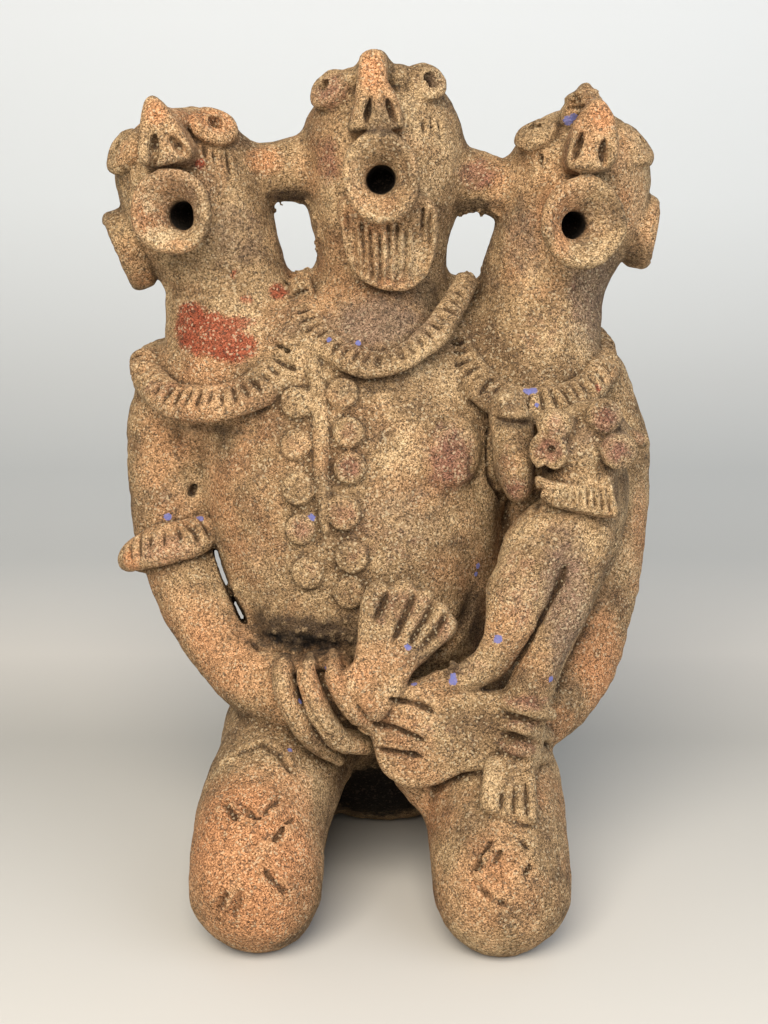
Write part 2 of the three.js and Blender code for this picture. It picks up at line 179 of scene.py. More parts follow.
def skinAt(start, heading, reach=160):  # first point of the skin along a line
    heading = unit(heading)
    steps = np.arange(0, reach, cell * 0.5)
    line = np.array(start, float) + steps[:, None] * heading
    value = sample(line)
    inside = np.nonzero(value < 0)[0]
    if not len(inside):
        return line[np.argmin(value)]
    k = max(inside[0], 1)
    share = value[k - 1] / (value[k - 1] - value[k])
    return line[k - 1] + share * (line[k] - line[k - 1])


camera = {"place": (0, -736, 336), "pitchDown": 12.0, "lens": 52.73, "sensor": 36.0}  # lens and sensor height
focalPixels = 1024 * camera["lens"] / camera["sensor"]
pitch = math.radians(camera["pitchDown"])


def sight(px, py):  # the camera's line through a pixel of the 768 x 1024 photograph
    u, v = (px - 384) / focalPixels, (512 - py) / focalPixels
    return np.array((u, math.cos(pitch) + v * math.sin(pitch), v * math.cos(pitch) - math.sin(pitch)))


def at(px, py, y):  # the point on that line at this depth
    line = sight(px, py)
    return np.array(camera["place"]) + line * ((y - camera["place"][1]) / line[1])


def seen(px, py):  # the skin that shows at a pixel
    line = sight(px, py)
    return skinAt(np.array(camera["place"]) + line * 580, line, 320)


def mmPerPixel(point):
    forward = np.array((0, math.cos(pitch), -math.sin(pitch)))
    return np.dot(np.array(point) - camera["place"], forward) / focalPixels


def seenRoll(stations, **kind):
    # a coil given by pixel x, pixel y, depth, half width in pixels and half depth in mm
    out = []
    for px, py, y, half, deep in stations:
        p = at(px, py, y)
        out.append((*p, half * mmPerPixel(p), deep))
    return roll(out, **kind)


def facingAt(point):  # the skin's outward direction
    e = cell * 1.5
    slope = [sample(point + e * np.eye(3)[i])[0] - sample(point - e * np.eye(3)[i])[0] for i in range(3)]
    return unit(slope)


def score(pixels, halfWidth, depth, lip=0.0, step=7.0, blend=0.7):
    # a line drawn in the clay with a stick, with a low lip of pushed-up clay beside it
    p = np.array(pixels, float)
    along = np.concatenate([[0], np.cumsum(np.linalg.norm(np.diff(p, axis=0), axis=1))])
    places = np.linspace(0, along[-1], max(3, int(along[-1] / step) + 1))
    points = [seen(np.interp(t, along, p[:, 0]), np.interp(t, along, p[:, 1])) for t in places]
    usual = np.median([q[1] for q in points])
    points = [q for q in points if abs(q[1] - usual) < 12]  # not what slipped off an edge to the clay behind
    if len(points) < 2:
        return
    taper = [0.5] + [1] * (len(points) - 2) + [0.5]
    facing = facingAt(points[len(points) // 2])
    if lip:
        join(roll([(*q, halfWidth * 2.2, lip) for q in points], deep=facing, fine=1, margin=4), 1.5)
    groove = [(*q, halfWidth * t, depth * t) for q, t in zip(points, taper)]
    cut(roll(groove, deep=facing, fine=1, margin=4), blend)


def slab(outline, middle, facing, half, rounding=2.5, fine=3):
    # a flat piece of clay: its outline is in pixels, on a plane through middle
    middle, facing = np.array(middle, float), unit(facing)
    side = unit(np.cross((0, 0, 1), facing))
    rise = np.cross(facing, side)
    flat = []
    for px, py in smoothPath(outline, fine, True)[:, :2]:
        line = sight(px, py)
        far = np.dot(middle - camera["place"], facing) / np.dot(line, facing)
        p = np.array(camera["place"]) + line * far
        flat.append((np.dot(p - middle, side), np.dot(p - middle, rise), *p))
    flat = np.array(flat)
    part, (x, y, z) = cellsAround(flat[:, 2:].min(0) - half - 7, flat[:, 2:].max(0) + half + 7)
    px, py, pz = x - middle[0], y - middle[1], z - middle[2]
    u = px * side[0] + py * side[1] + pz * side[2]
    v = px * rise[0] + py * rise[1] + pz * rise[2]
    h = px * facing[0] + py * facing[1] + pz * facing[2]
    near, inside = np.full(h.shape, 1e6, np.float32), np.zeros(h.shape, bool)
    for (ax, ay), (bx, by) in zip(flat[:, :2], np.roll(flat[:, :2], -1, axis=0)):
        ex, ey = bx - ax, by - ay
        t = np.clip(((u - ax) * ex + (v - ay) * ey) / max(ex * ex + ey * ey, 1e-9), 0, 1)
        near = np.minimum(near, (u - ax - t * ex) ** 2 + (v - ay - t * ey) ** 2)
        if abs(ey) > 1e-9:
            inside ^= ((ay > v) != (by > v)) & (u < (bx - ax) * (v - ay) / ey + ax)
    rim = np.sqrt(near) * np.where(inside, -1, 1)
    outR, outH = rim + rounding, np.abs(h) - half + rounding
    return part, roundedEdge(outR, outH, rounding).astype(np.float32)


# Marks that repeat are set out by a node tree, one copy of a mark on each point of a guide mesh

def node(tree, kind, inputs=None, stops=(), **settings):
    # a node with its settings, a value or a link for each input, and the stops of its colour ramp
    made = tree.nodes.new(kind)
    for key, value in settings.items():
        setattr(made, key, value)
    for key, value in (inputs or {}).items():
        if isinstance(value, bpy.types.NodeSocket):
            tree.links.new(value, made.inputs[key])
        else:
            made.inputs[key].default_value = value
    if stops:
        ramp = made.color_ramp.elements
        while len(ramp) < len(stops):
            ramp.new(0.5)
        for element, (spot, colour) in zip(ramp, stops):
            element.position, element.color = spot, colour
    return made


def marksTree():
    tree = bpy.data.node_groups.new("pressedMarks", "GeometryNodeTree")
    face = tree.interface
    face.new_socket("Guide", in_out="INPUT", socket_type="NodeSocketGeometry")
    face.new_socket("Mark", in_out="INPUT", socket_type="NodeSocketObject")
    for name, kind, value in (("Size", "NodeSocketFloat", 1.0), ("Size jitter", "NodeSocketFloat", 0.1),
                              ("Turn jitter", "NodeSocketFloat", 0.1), ("Seed", "NodeSocketInt", 1)):
        face.new_socket(name, in_out="INPUT", socket_type=kind).default_value = value
    face.new_socket("Clay", in_out="INPUT", socket_type="NodeSocketMaterial")
    face.new_socket("Marks", in_out="OUTPUT", socket_type="NodeSocketGeometry")
    given = node(tree, "NodeGroupInput").outputs
    facing, along = (node(tree, "GeometryNodeInputNamedAttribute", {"Name": name}, data_type="FLOAT_VECTOR")
                     for name in ("facing", "along"))
    stand = node(tree, "FunctionNodeAlignRotationToVector", {"Vector": facing.outputs[0]}, axis="Z")
    aim = node(tree, "FunctionNodeAlignRotationToVector",
               {"Rotation": stand.outputs[0], "Vector": along.outputs[0]}, axis="X", pivot_axis="Z")
    widest = node(tree, "ShaderNodeMath", {0: given["Turn jitter"], 1: -1.0}, operation="MULTIPLY")
    turn = node(tree, "FunctionNodeRandomValue",
                {2: widest.outputs[0], 3: given["Turn jitter"], "Seed": given["Seed"]}, data_type="FLOAT")
    spin = node(tree, "ShaderNodeCombineXYZ", {2: turn.outputs[1]})
    aimed = node(tree, "FunctionNodeRotateRotation",
                 {0: aim.outputs[0], 1: spin.outputs[0]}, rotation_space="LOCAL")
    least = node(tree, "ShaderNodeMath", {0: 1.0, 1: given["Size jitter"]}, operation="SUBTRACT")
    most = node(tree, "ShaderNodeMath", {0: 1.0, 1: given["Size jitter"]}, operation="ADD")
    size = node(tree, "FunctionNodeRandomValue",
                {2: least.outputs[0], 3: most.outputs[0], "Seed": given["Seed"]}, data_type="FLOAT")
    scale = node(tree, "ShaderNodeMath", {0: size.outputs[1], 1: given["Size"]}, operation="MULTIPLY")
    mark = node(tree, "GeometryNodeObjectInfo", {"Object": given["Mark"], 1: True})
    copies = node(tree, "GeometryNodeInstanceOnPoints",
                  {"Points": given["Guide"], "Instance": mark.outputs["Geometry"],
                   "Rotation": aimed.outputs[0], "Scale": scale.outputs[0]})
    real = node(tree, "GeometryNodeRealizeInstances", {0: copies.outputs[0]})
    coated = node(tree, "GeometryNodeSetMaterial", {0: real.outputs[0], "Material": given["Clay"]})
    node(tree, "NodeGroupOutput", {0: coated.outputs[0]})
    return tree


def markObject(name, halfSizes, squareness):  # a rounded block: squareness 2 is an oval, higher is boxier
    bpy.ops.mesh.primitive_ico_sphere_add(subdivisions=3, radius=1)
    made = bpy.context.object
    made.name = name
    for v in made.data.vertices:
        d = np.array(v.co)
        d = d / (np.sum(np.abs(d) ** squareness) ** (1 / squareness))
        v.co = d * np.array(halfSizes)
    return made


def discObject(name, radius, thick):  # a pressed pellet of clay with a round rim
    bpy.ops.mesh.primitive_uv_sphere_add(segments=24, ring_count=12, radius=1)
    made = bpy.context.object
    made.name = name
    for v in made.data.vertices:
        r, h = math.hypot(v.co.x, v.co.y), v.co.z
        k = 1 / max((r ** 7 + abs(h) ** 7) ** (1 / 7), 1e-6)
        v.co = (v.co.x * k * radius, v.co.y * k * radius, h * k * thick)
    return made


marks = marksTree()


def setMarks(name, mark, points, facings, alongs, size=1.0, sizeJitter=0.08, turnJitter=0.08, seed=1):
    guide = bpy.data.meshes.new(name)
    guide.from_pydata([tuple(p) for p in points], [], [])
    for key, values in (("facing", facings), ("along", alongs)):
        layer = guide.attributes.new(key, "FLOAT_VECTOR", "POINT")
        layer.data.foreach_set("vector", np.array(values, np.float32).ravel())
    holder = bpy.data.objects.new(name, guide)
    bpy.context.scene.collection.objects.link(holder)
    rule = holder.modifiers.new("marks", "NODES")
    rule.node_group = marks
    keys = {s.name: s.identifier for s in marks.interface.items_tree if s.in_out == "INPUT"}
    for key, value in (("Mark", mark), ("Size", size), ("Size jitter", sizeJitter),
                       ("Turn jitter", turnJitter), ("Seed", seed)):
        rule[keys[key]] = value
    mesh = bpy.data.meshes.new_from_object(holder.evaluated_get(bpy.context.evaluated_depsgraph_get()))
    bpy.data.objects.remove(holder)
    mesh.calc_loop_triangles()
    corners = np.empty(len(mesh.vertices) * 3, np.float32)
    mesh.vertices.foreach_get("co", corners)
    triangles = np.empty(len(mesh.loop_triangles) * 3, np.int32)
    mesh.loop_triangles.foreach_get("vertices", triangles)
    corners, triangles = corners.reshape(-1, 3), triangles.reshape(-1, 3)
    bpy.data.meshes.remove(mesh)
    part, _ = cellsAround(corners.min(0) - 5, corners.max(0) + 5)
    low = blockLow + cell * np.array([s.start for s in part])
    shell = vdb.FloatGrid.createLevelSetFromPolygons(
        (corners - low).astype(np.float32), triangles=triangles.astype(np.uint32),
        transform=vdb.createLinearTransform(voxelSize=cell), halfWidth=3)
    distance = np.full([s.stop - s.start for s in part], 3 * cell, np.float32)
    shell.copyToArray(distance)
    return part, distance


# Trunk, seat and legs

trunk = {
    # height, middle x, middle y, half width, half depth
    "stations": [(66, -2, 27, 54, 42), (80, -3, 19, 59, 47), (96, -6, 11, 60, 49), (112, -9, 5, 62, 51),
        (128, -11, -1, 66, 57), (145, -12, -3, 70, 59.5), (165, -13, -3, 73, 59.5), (188, -14, -2, 76, 58),
        (207, -13, 0, 80, 55), (226, -11, 2, 86, 50), (245, -5, 5, 91, 43), (262, -2, 8, 88, 32),
        (276, -1, 11, 78, 22), (287, 0, 12, 64, 15)],
    "seat": (0, 40, 51, 57, 46),
}


def makeTrunk():
    join(roll([(x, y, z, a, b) for z, x, y, a, b in trunk["stations"]], fine=3), 1)
    x, y, z, a, b = trunk["seat"]
    join(roll([(x, y, z - 4, a, b), (x, y, z + 6, a, b)], fine=2), 14)


legs = {
    # middle x and half width of each knee
    "knees": {-1: (-58, 29.5), 1: (53, 31)},
    "kneeHeight": 31, "thighBlend": 9, "toeGap": 7.2, "toeHalfWidth": 4,
}


def makeLeg(side):
    kneeX, half = legs["knees"][side]
    knee = legs["kneeHeight"]
    thigh = [
        (side * 38, 28, 82, 36, 34), (side * 44, -20, 74, 35, 34), (side * 51, -55, 60, half + 2, 33),
        (kneeX, -86, 45, half + 1, 34), (kneeX, -102, 34, half + 0.5, 32),
        (kneeX, -107, knee - 1, half, knee - 0.5),
    ]
    join(roll(thigh, deep=(0, 0, 1)), legs["thighBlend"])
    shin = [
        (kneeX, -96, 22, 24, 22), (side * 50, -20, 20, 22, 22), (side * 45, 50, 19, 19, 19),
        (side * 40, 92, 15, 16, 15),
    ]
    join(roll(shin, deep=(0, 0, 1)), 8)
    join(roll([(side * 40, 84, 19, 15, 13), (side * 36, 102, 15, 17, 9.5)], deep=(0, 0, 1)), 6)
    for n in range(5):  # toes, laid back on the ground
        x, half = side * 36 + (n - 2) * legs["toeGap"], legs["toeHalfWidth"]
        join(roll([(x, 96, 15, half), (x, 110 - abs(n - 2) * 1.2, 12, half - 0.2)], fine=1, margin=5), 1.5)


# Arms and hands

arms = {
    "left": [(-96, 5, 243, 25, 24), (-100, 1, 222, 27, 20), (-104, -3, 198, 23, 18),
        (-106, -7, 174, 18, 17), (-98, -17, 148, 17.5, 17), (-81, -32, 125, 18.5, 18),
        (-62, -47, 110, 18.5, 18), (-43, -59, 104, 18, 17), (-24, -68, 108, 15, 14)],
    "right": [(95, 6, 240, 27, 26), (99, -1, 214, 32, 23), (95, -7, 180, 36, 23), (92, -16, 148, 34, 23),
        (91, -30, 120, 26, 21), (82, -46, 100, 20, 18), (66, -58, 91, 17, 17), (48, -66, 88, 15, 15)],
    "blend": 4,
}
# outlines and the lines between fingers, in pixels of the photograph
hands = {
    "left": {
        "outline": [(352, 662), (358, 636), (361, 611), (367, 592), (379, 580), (390, 587), (398, 580),
            (409, 580), (417, 590), (427, 588), (434, 593), (436, 601), (446, 604), (450, 614), (456, 622),
            (452, 636), (430, 655), (412, 674), (398, 696), (378, 722), (358, 706), (340, 674)],
        "middle": (2, -81, 136),
        "facing": (0.0, -1, 0.3),
        "half": 7.5,
        "between": [[(390, 584), (384, 602), (375, 620)], [(417, 587), (407, 612), (393, 641)],
            [(435, 600), (424, 621), (409, 645)], [(448, 613), (436, 631), (421, 648)]],
    },
    "right": {
        "outline": [(528, 694), (500, 692), (470, 690), (440, 689), (412, 689), (397, 695), (391, 706),
            (383, 717), (374, 728), (373, 740), (376, 750), (380, 764), (390, 775), (412, 785), (436, 781),
            (462, 770), (497, 766), (526, 764)],
        "middle": (22, -86, 90),
        "facing": (-0.05, -1, 0.12),
        "half": 8.5,
        "between": [[(391, 700), (412, 703), (436, 714)], [(376, 724), (398, 729), (424, 741)],
            [(377, 750), (398, 752), (422, 757)]],
    },
}


def makeArms():
    join(roll(arms["left"]), arms["blend"])
    join(roll(arms["right"]), arms["blend"])


def makeHand(side):
    hand = hands[side]
    join(slab(hand["outline"], hand["middle"], hand["facing"], hand["half"], 4.0), 2)
    for line in hand["between"]:
        score(line, 2.0, 3.6, blend=1.2)


# ridges round the left wrist, from elbow to hand: pixel x, pixel y, depth, half width px, half depth mm
wrist = {
    "ridges": [
        [(290, 656, -56, 8, 8), (283, 676, -76, 11.5, 9), (292, 706, -82, 12.5, 9), (311, 736, -80, 12, 9),
            (334, 752, -70, 8, 8)],
        [(315, 655, -58, 8, 8), (308, 674, -80, 11.5, 9), (318, 706, -86, 12.5, 9), (337, 736, -84, 12, 9),
            (361, 742, -74, 9, 8)],
        [(337, 656, -60, 8, 8), (333, 670, -80, 11, 9), (343, 694, -86, 12, 9), (360, 716, -86, 12.5, 9),
            (376, 726, -80, 9, 8)],
    ],
}


def makeWrist():
    for ridge in wrist["ridges"]:
        join(seenRoll(ridge, fine=3), 1.2)
    for a, b in zip(wrist["ridges"][:-1], wrist["ridges"][1:]):
        score([((p[0] + q[0]) / 2, (p[1] + q[1]) / 2) for p, q in zip(a, b)], 1.0, 2.5)


def ringAround(centre, axis, radius, thick):
    axis = unit(axis)
    across = unit(np.cross(front, axis)) * radius
    ahead = np.cross(axis, across)
    turn = np.linspace(0, 2 * math.pi, 32, endpoint=False)[:, None]
    path = np.array(centre) + np.cos(turn) * across + np.sin(turn) * ahead
    return roll([(*p, thick) for p in path], fine=1, closed=True, margin=5)


# Collars and armlet: bands of clay with notches pressed across them.
# Each follows an oval seen from above (middle x, middle y, half width, half depth), at the heights at
# which its front half shows in the photograph.

bands = {
    "leftCollar": dict(
        oval=(-76, -1, 40, 43), reach=9.8, swell=5.6, lean=0.85, notches=50, length=7.5, rise=3, seed=3,
        shown=[(143, 362), (147, 377), (159, 391), (178, 401), (205, 404), (232, 401), (258, 389),
            (280, 370), (298, 350), (309, 328)],
    ),
    "middleCollar": dict(
        oval=(-0.5, 2, 41, 45), reach=7.4, swell=4.8, lean=0.75, notches=54, length=6.2, rise=-4, seed=5,
        shown=[(301, 286), (304, 305), (313, 327), (330, 347), (352, 360), (375, 365), (398, 360),
            (418, 348), (437, 330), (449, 312), (459, 296), (465, 284)],
    ),
    "rightCollar": dict(
        oval=(71.5, -1, 37.5, 43), reach=9.0, swell=5.2, lean=0.95, notches=48, length=7.0, rise=1, seed=7,
        shown=[(453, 318), (461, 350), (475, 377), (495, 396), (520, 405), (548, 404), (575, 396),
            (592, 385), (600, 374)],
    ),
    "armlet": dict(
        oval=(-105, -9, 20.5, 21), reach=10.5, swell=6.6, lean=1.0, notches=24, length=9.0, rise=-4, seed=9,
        shown=[(132, 557), (142, 552), (160, 545), (180, 540), (200, 533), (213, 526)],
    ),
}
notchSize = {"halfWidth": 1.4, "depth": 2.6}


def bandPath(name, count=76):
    b = bands[name]
    cx, cy, a, c = b["oval"]
    eye = np.array(camera["place"])
    path = []
    for px, py in smoothPath(b["shown"], 3)[:, :2]:
        line = sight(px, py)
        ex, ey = (eye[0] - cx) / a, (eye[1] - cy) / c
        lx, ly = line[0] / a, line[1] / c
        k2, k1, k0 = lx * lx + ly * ly, 2 * (ex * lx + ey * ly), ex * ex + ey * ey - 1
        t = (-k1 - math.sqrt(max(k1 * k1 - 4 * k2 * k0, 0))) / (2 * k2)
        path.append(eye + line * t)
    angle = [math.atan2((p[1] - cy) / c, (p[0] - cx) / a) for p in (path[-1], path[0])]
    angle[1] += 2 * math.pi * (angle[1] < angle[0])
    for s in np.linspace(0, 1, 16)[1:-1]:
        t = angle[0] + (angle[1] - angle[0]) * s
        z = path[-1][2] + (path[0][2] - path[-1][2]) * s + b["rise"] * math.sin(math.pi * s)
        path.append(np.array((cx + a * math.cos(t), cy + c * math.sin(t), z)))
    loop = np.array(path + path[:1])
    along = np.concatenate([[0], np.cumsum(np.linalg.norm(np.diff(loop, axis=0), axis=1))])
    even = np.linspace(0, along[-1], count, endpoint=False)
    return np.stack([np.interp(even, along, loop[:, k]) for k in range(3)], 1)


def makeBand(name):
    b = bands[name]
    path = bandPath(name)
    middle = np.array((b["oval"][0], b["oval"][1], 0.0))
    axes = []
    for i, p in enumerate(path):
        ahead = unit(path[(i + 1) % len(path)] - path[i - 1])
        out = (p - middle) * (1, 1, 0)
        out = unit(out - ahead * np.dot(out, ahead))
        up = np.cross(out, ahead)
        up = up if up[2] > 0 else -up
        lean = b["lean"]
        axes.append((math.cos(lean) * out - math.sin(lean) * up, math.sin(lean) * out + math.cos(lean) * up))
    wide = [b["reach"] * (0.62 + 0.38 * abs(unit((p - middle) * (1, 1, 0))[1])) for p in path]
    ring = [(*p, w, b["swell"]) for p, w in zip(path, wide)]
    join(roll(ring, fine=1, axes=axes, closed=True, margin=6), 1.0)
    points, facings, alongs = [], [], []
    for s in np.linspace(0, len(path), b["notches"], endpoint=False):
        i = int(s) % len(path)
        long, short = axes[i]
        p = path[i] + (path[(i + 1) % len(path)] - path[i]) * (s - int(s))
        points.append(p + short * b["swell"] * 0.98 - long * b["reach"] * 0.12)
        facings.append(short)
        alongs.append(long)
    mark = markObject("notch", (b["length"], notchSize["halfWidth"], notchSize["depth"]), 2.2)
    cut(setMarks(name, mark, points, facings, alongs, sizeJitter=0.28, turnJitter=0.16, seed=b["seed"]), 1.2)
    bpy.data.objects.remove(mark)


# Necks and heads

heads = {
    "left": {
        "rise": [(-77, 0, 243, 36, 34), (-75, 1, 258, 33, 33), (-75, 3, 276, 31.5, 30),
            (-77, 4, 296, 30, 28), (-84, 5, 314, 32, 31), (-90, 5, 330, 36, 36), (-94, 5, 341, 35, 36)],
        "mouth": dict(
            place=(-97, -48, 328), axis=(-0.2, -1, 0.03), rim=19.6, squeeze=(1, 1), hole=(2.5, -1.5),
        ),
        "nose": dict(
            outline=[(154.5, 101), (148, 108), (143, 128), (141, 150), (143, 165), (153, 169), (172, 168),
                (190, 163), (196, 151), (188, 133), (176, 116), (163, 104)],
            middle=(-101, -35.5, 358), facing=(-0.05, -1, 0.12), half=12.5,
            ridge=[(160, 122, -36, 12, 8), (172, 122, -22, 13, 9), (186, 126, -8, 14, 9)],
        ),
        "slits": [[(153.5, 136), (152, 151), (153, 168)], [(171, 138), (180, 148), (189, 158)]],
        "eyes": [dict(place=at(124, 152, -15), axis=(-0.7, -0.5, 0.51), radius=11.6),
            dict(place=at(213.5, 126.5, -20), axis=(0.34, -0.56, 0.76), radius=11.8)],
        "ear": dict(place=(-124, 6, 309), axis=(-0.92, -0.14, -0.36), radius=20.5, thick=6.8),
    },
    "middle": {
        "rise": [(-2, -3, 255, 34, 34), (-2, -1, 270, 32, 33), (-1, 3, 286, 31, 30.5), (-1, 6, 302, 31, 30),
            (-1, 7, 318, 32.5, 33), (-1, 8, 330, 35.5, 38), (0, 9, 342, 39, 42), (0, 8, 356, 39.5, 41)],
        "mouth": dict(
            place=(-1.5, -54, 343), axis=(0.03, -1, 0.02), rim=17.6, squeeze=(1, 1.19), hole=(0.8, -1.2),
        ),
        "nose": dict(
            outline=[(373, 53), (364, 57), (360, 65), (359, 86), (357, 104), (351, 122), (352, 133),
                (376, 131), (403, 131), (402, 116), (396, 100), (387, 84), (385.5, 65), (382, 55)],
            middle=(-5, -37, 378), facing=(0, -1, 0.08), half=14,
            ridge=[(373, 68, -38, 10.5, 7), (374, 67.5, -24, 12, 8), (376, 71, -8, 14, 8)],
        ),
        "slits": [[(370, 97), (368, 110), (366, 123)], [(387, 98), (390.5, 110), (395, 122)]],
        "eyes": [dict(place=at(329, 90, -14), axis=(-0.46, -0.66, 0.6), radius=10.4),
            dict(place=at(427, 83, -15), axis=(0.24, -0.76, 0.6), radius=10.2)],
        "crest": [(352, 81, -12, 12, 11), (375, 78, -12, 14, 12), (399, 79, -12, 13, 11)],
    },
    "right": {
        "rise": [(74, 0, 243, 36, 34), (73, 1, 258, 33, 33), (75, 3, 276, 31, 30), (78, 4, 296, 30, 28),
            (85, 5, 314, 32, 31), (91, 5, 330, 35, 36), (93, 5, 341, 35, 36)],
        "mouth": dict(
            place=(91, -48, 323), axis=(0.16, -1, 0), rim=20.2, squeeze=(1, 1), hole=(-2.5, -1.5),
        ),
        "nose": dict(
            outline=[(595, 103), (584, 109), (574, 122), (567, 143), (564, 165), (572, 172), (590, 173),
                (609, 168), (617, 152), (615, 130), (607, 112)],
            middle=(97, -36.5, 356), facing=(0.05, -1, 0.12), half=12.5,
            ridge=[(596, 120, -38, 11, 8), (586, 106, -22, 10, 8), (576, 114, -12, 12, 9)],
        ),
        "crest": [(584, 91, -16, 5.5, 6), (579, 102, -17, 8.5, 8), (570, 116, -14, 12, 9)],
        "slits": [[(581.5, 132), (577, 146), (572.5, 161)], [(604.5, 141), (603, 154), (605, 167)]],
        "eyes": [dict(place=at(537, 134, -17), axis=(-0.44, -0.42, 0.8), radius=10.6),
            dict(place=at(634, 146, -11), axis=(0.66, -0.42, 0.62), radius=11.8)],
        "ear": dict(place=(125, 6, 317.5), axis=(0.98, -0.08, -0.14), radius=18, thick=6.8),
    },
}
funnel = {"bore": 6.7, "boreDepth": 26, "wall": 30, "rimThick": 3.4}


def boreOf(mouth):
    axis = unit(mouth["axis"])
    return np.array(mouth["place"]) + (mouth["hole"][0], 0, mouth["hole"][1]), axis


def makeMouth(mouth):
    rim, lip = mouth["rim"], funnel["rimThick"]
    tall = max(mouth["squeeze"])

    def outside(r, h):  # the funnel's body widens towards its rim, which is a soft roll
        body = np.maximum(r - (rim * 0.95 + h * 0.22), np.maximum(h + lip * 0.6, -h - funnel["wall"]))
        roundRim = np.hypot(r - rim + lip, h + lip) - lip
        return np.minimum(body, roundRim)

    def bowl(r, h):  # a shallow cone into the hole
        slope = rim * 0.76 + h * 0.92
        return np.maximum((r - slope) * 0.72, np.maximum(h - 3, -h - 13.5))

    place, axis, squeeze = mouth["place"], mouth["axis"], mouth["squeeze"]
    join(turned(place, axis, max(rim * tall, funnel["wall"]), outside, squeeze), 2.5)
    cut(turned(place, axis, rim * tall, bowl, squeeze), 2.2)


def openMouth(mouth):
    start, axis = boreOf(mouth)
    bore = funnel["bore"]
    cut(roll([(*(start - axis * 5), bore * 1.12), (*(start - axis * 13), bore),
              (*(start - axis * funnel["boreDepth"]), bore * 0.9)], fine=2), 2)


def makeHead(name):
    head = heads[name]
    join(roll(head["rise"], fine=4), 6)
    if "ear" in head:
        ear = head["ear"]
        place, axis = np.array(ear["place"]), unit(ear["axis"])
        join(roll([(*(place - axis * 20), 15), (*place, 13)], fine=1), 4)
        join(drum(place, axis, ear["radius"], ear["thick"], 4.5), 3)
        cut(drum(place + axis * ear["thick"], axis, ear["radius"] - 5, 1.6, 1.2), 2)
    if "crest" in head:
        join(seenRoll(head["crest"], fine=3), 2)
    nose = head["nose"]
    join(seenRoll(nose["ridge"], fine=3), 3)
    join(slab(nose["outline"], nose["middle"], nose["facing"], nose["half"], 4.5), 1.8)
    makeMouth(head["mouth"])
    for eye in head["eyes"]:
        axis, place, ring = unit(eye["axis"]), eye["place"], 3.2
        join(roll([(*(place - axis * 12), 8), (*(place - axis * 3), 8)], fine=1), 4)  # what carries the eye
        join(drum(place - axis * 1.8, axis, eye["radius"] - 2, 2.4, 1.5), 1.0)
        join(ringAround(place, axis, eye["radius"] - ring, ring), 1.2)


def finishHead(name):
    head = heads[name]
    openMouth(head["mouth"])
    for line in head["slits"]:
        score(line, 1.8, 5.5)
    for eye in head["eyes"]:
        axis = unit(eye["axis"])
        pit = [(*(eye["place"] + axis * 2), 4.0), (*(eye["place"] - axis * 4), 2.6)]
        cut(roll(pit, fine=1, margin=4), 0.8)


bars = {
    "left": [(-74, 6, 345, 17), (-60, 5, 345, 14.3), (-48, 6, 346, 14.6), (-28, 8, 348, 17)],
    "right": [(28, 8, 343, 17), (46, 6, 341.5, 15), (56, 5, 338.5, 14.5), (72, 6, 339, 17)],
}

beard = {
    "outline": [(338, 203), (341, 228), (346, 252), (356, 274), (374, 286), (398, 290), (413, 287),
        (428, 273), (436, 252), (438, 226), (433, 202), (410, 192), (360, 192)],
    "middle": (3, -34, 313), "facing": (0, -1, -0.12), "half": 7,
    "cuts": [345, 353, 361, 370, 379, 388, 397, 406, 415, 423, 430],
}


def makeBeard():
    join(slab(beard["outline"], beard["middle"], beard["facing"], beard["half"], 3.5), 1.5)


def cutBeard():  # strands, parted with a stick and pinched into separate ends
    count = len(beard["cuts"])
    for n, px in enumerate(beard["cuts"]):
        lean = (n - (count - 1) / 2) / count
        bottom = 288 - 52 * lean * lean - 4 * (n % 2)
        top = 209 + 5 * math.cos(n * 1.7) + (17 if 0 < n < count - 2 else 0)
        parting = [(px, top), (px - lean * 4 + n % 3, (top + bottom) / 2), (px - lean * 14, bottom)]
        score(parting, 1.25, 3.0, step=6)


# Chest: a raised strip between two rows of pressed discs, a flat breast and a hanging one

chest = {
    "discs": [(297, 403), (296.5, 445), (299, 489), (301, 529), (308, 573), (343, 394), (349, 433),
        (350, 468), (343.5, 513), (352, 556), (349, 593)],
    "discRadius": 7.3, "discThick": 3.4,
    "strip": [(311, 352, 4), (314, 370, 6.5), (318, 392, 7), (321, 430, 7), (322, 470, 6.5), (324, 505, 6),
        (326, 530, 4)],
    "stripRise": 3.6,
    "breast": [(454, 420), (440, 424), (429, 440), (427, 462), (432, 482), (446, 492), (462, 489),
        (474, 474), (478, 452), (474, 432), (465, 422)],
    "nipple": [(455, 464, 6.5), (459, 475, 5.5)],
    "hangingBreast": [(510, 410, -44, 20, 12), (513, 440, -52, 21, 13), (515, 470, -56, 20, 13),
        (517, 487, -56, 14, 11)],
}


def makeChest():
    join(seenRoll(chest["hangingBreast"], fine=3), 1.3)
    p = seen(452, 455)
    join(slab(chest["breast"], p + (0, 2.2, 0), facingAt(p), 6.0, 5.5), 2.2)
    join(roll([(*(seen(px, py) + (0, 2, 0)), half, 5) for px, py, half in chest["nipple"]], fine=2), 2)
    points = [(seen(px, py), half) for px, py, half in chest["strip"]]
    join(roll([(*p, half * 0.49, chest["stripRise"]) for p, half in points], fine=4), 1.0)
    places = [seen(px, py) for px, py in chest["discs"]]
    facings = [facingAt(p) for p in places]
    disc = discObject("disc", chest["discRadius"], chest["discThick"])
    join(setMarks("chestDiscs", disc, places, facings, [(1, 0, 0)] * len(places), sizeJitter=0.05,
                  turnJitter=0.5, seed=4), 0.6)
    bpy.data.objects.remove(disc)


# The child on the right arm, given as it shows: pixel x, pixel y, depth, half width px, half depth mm

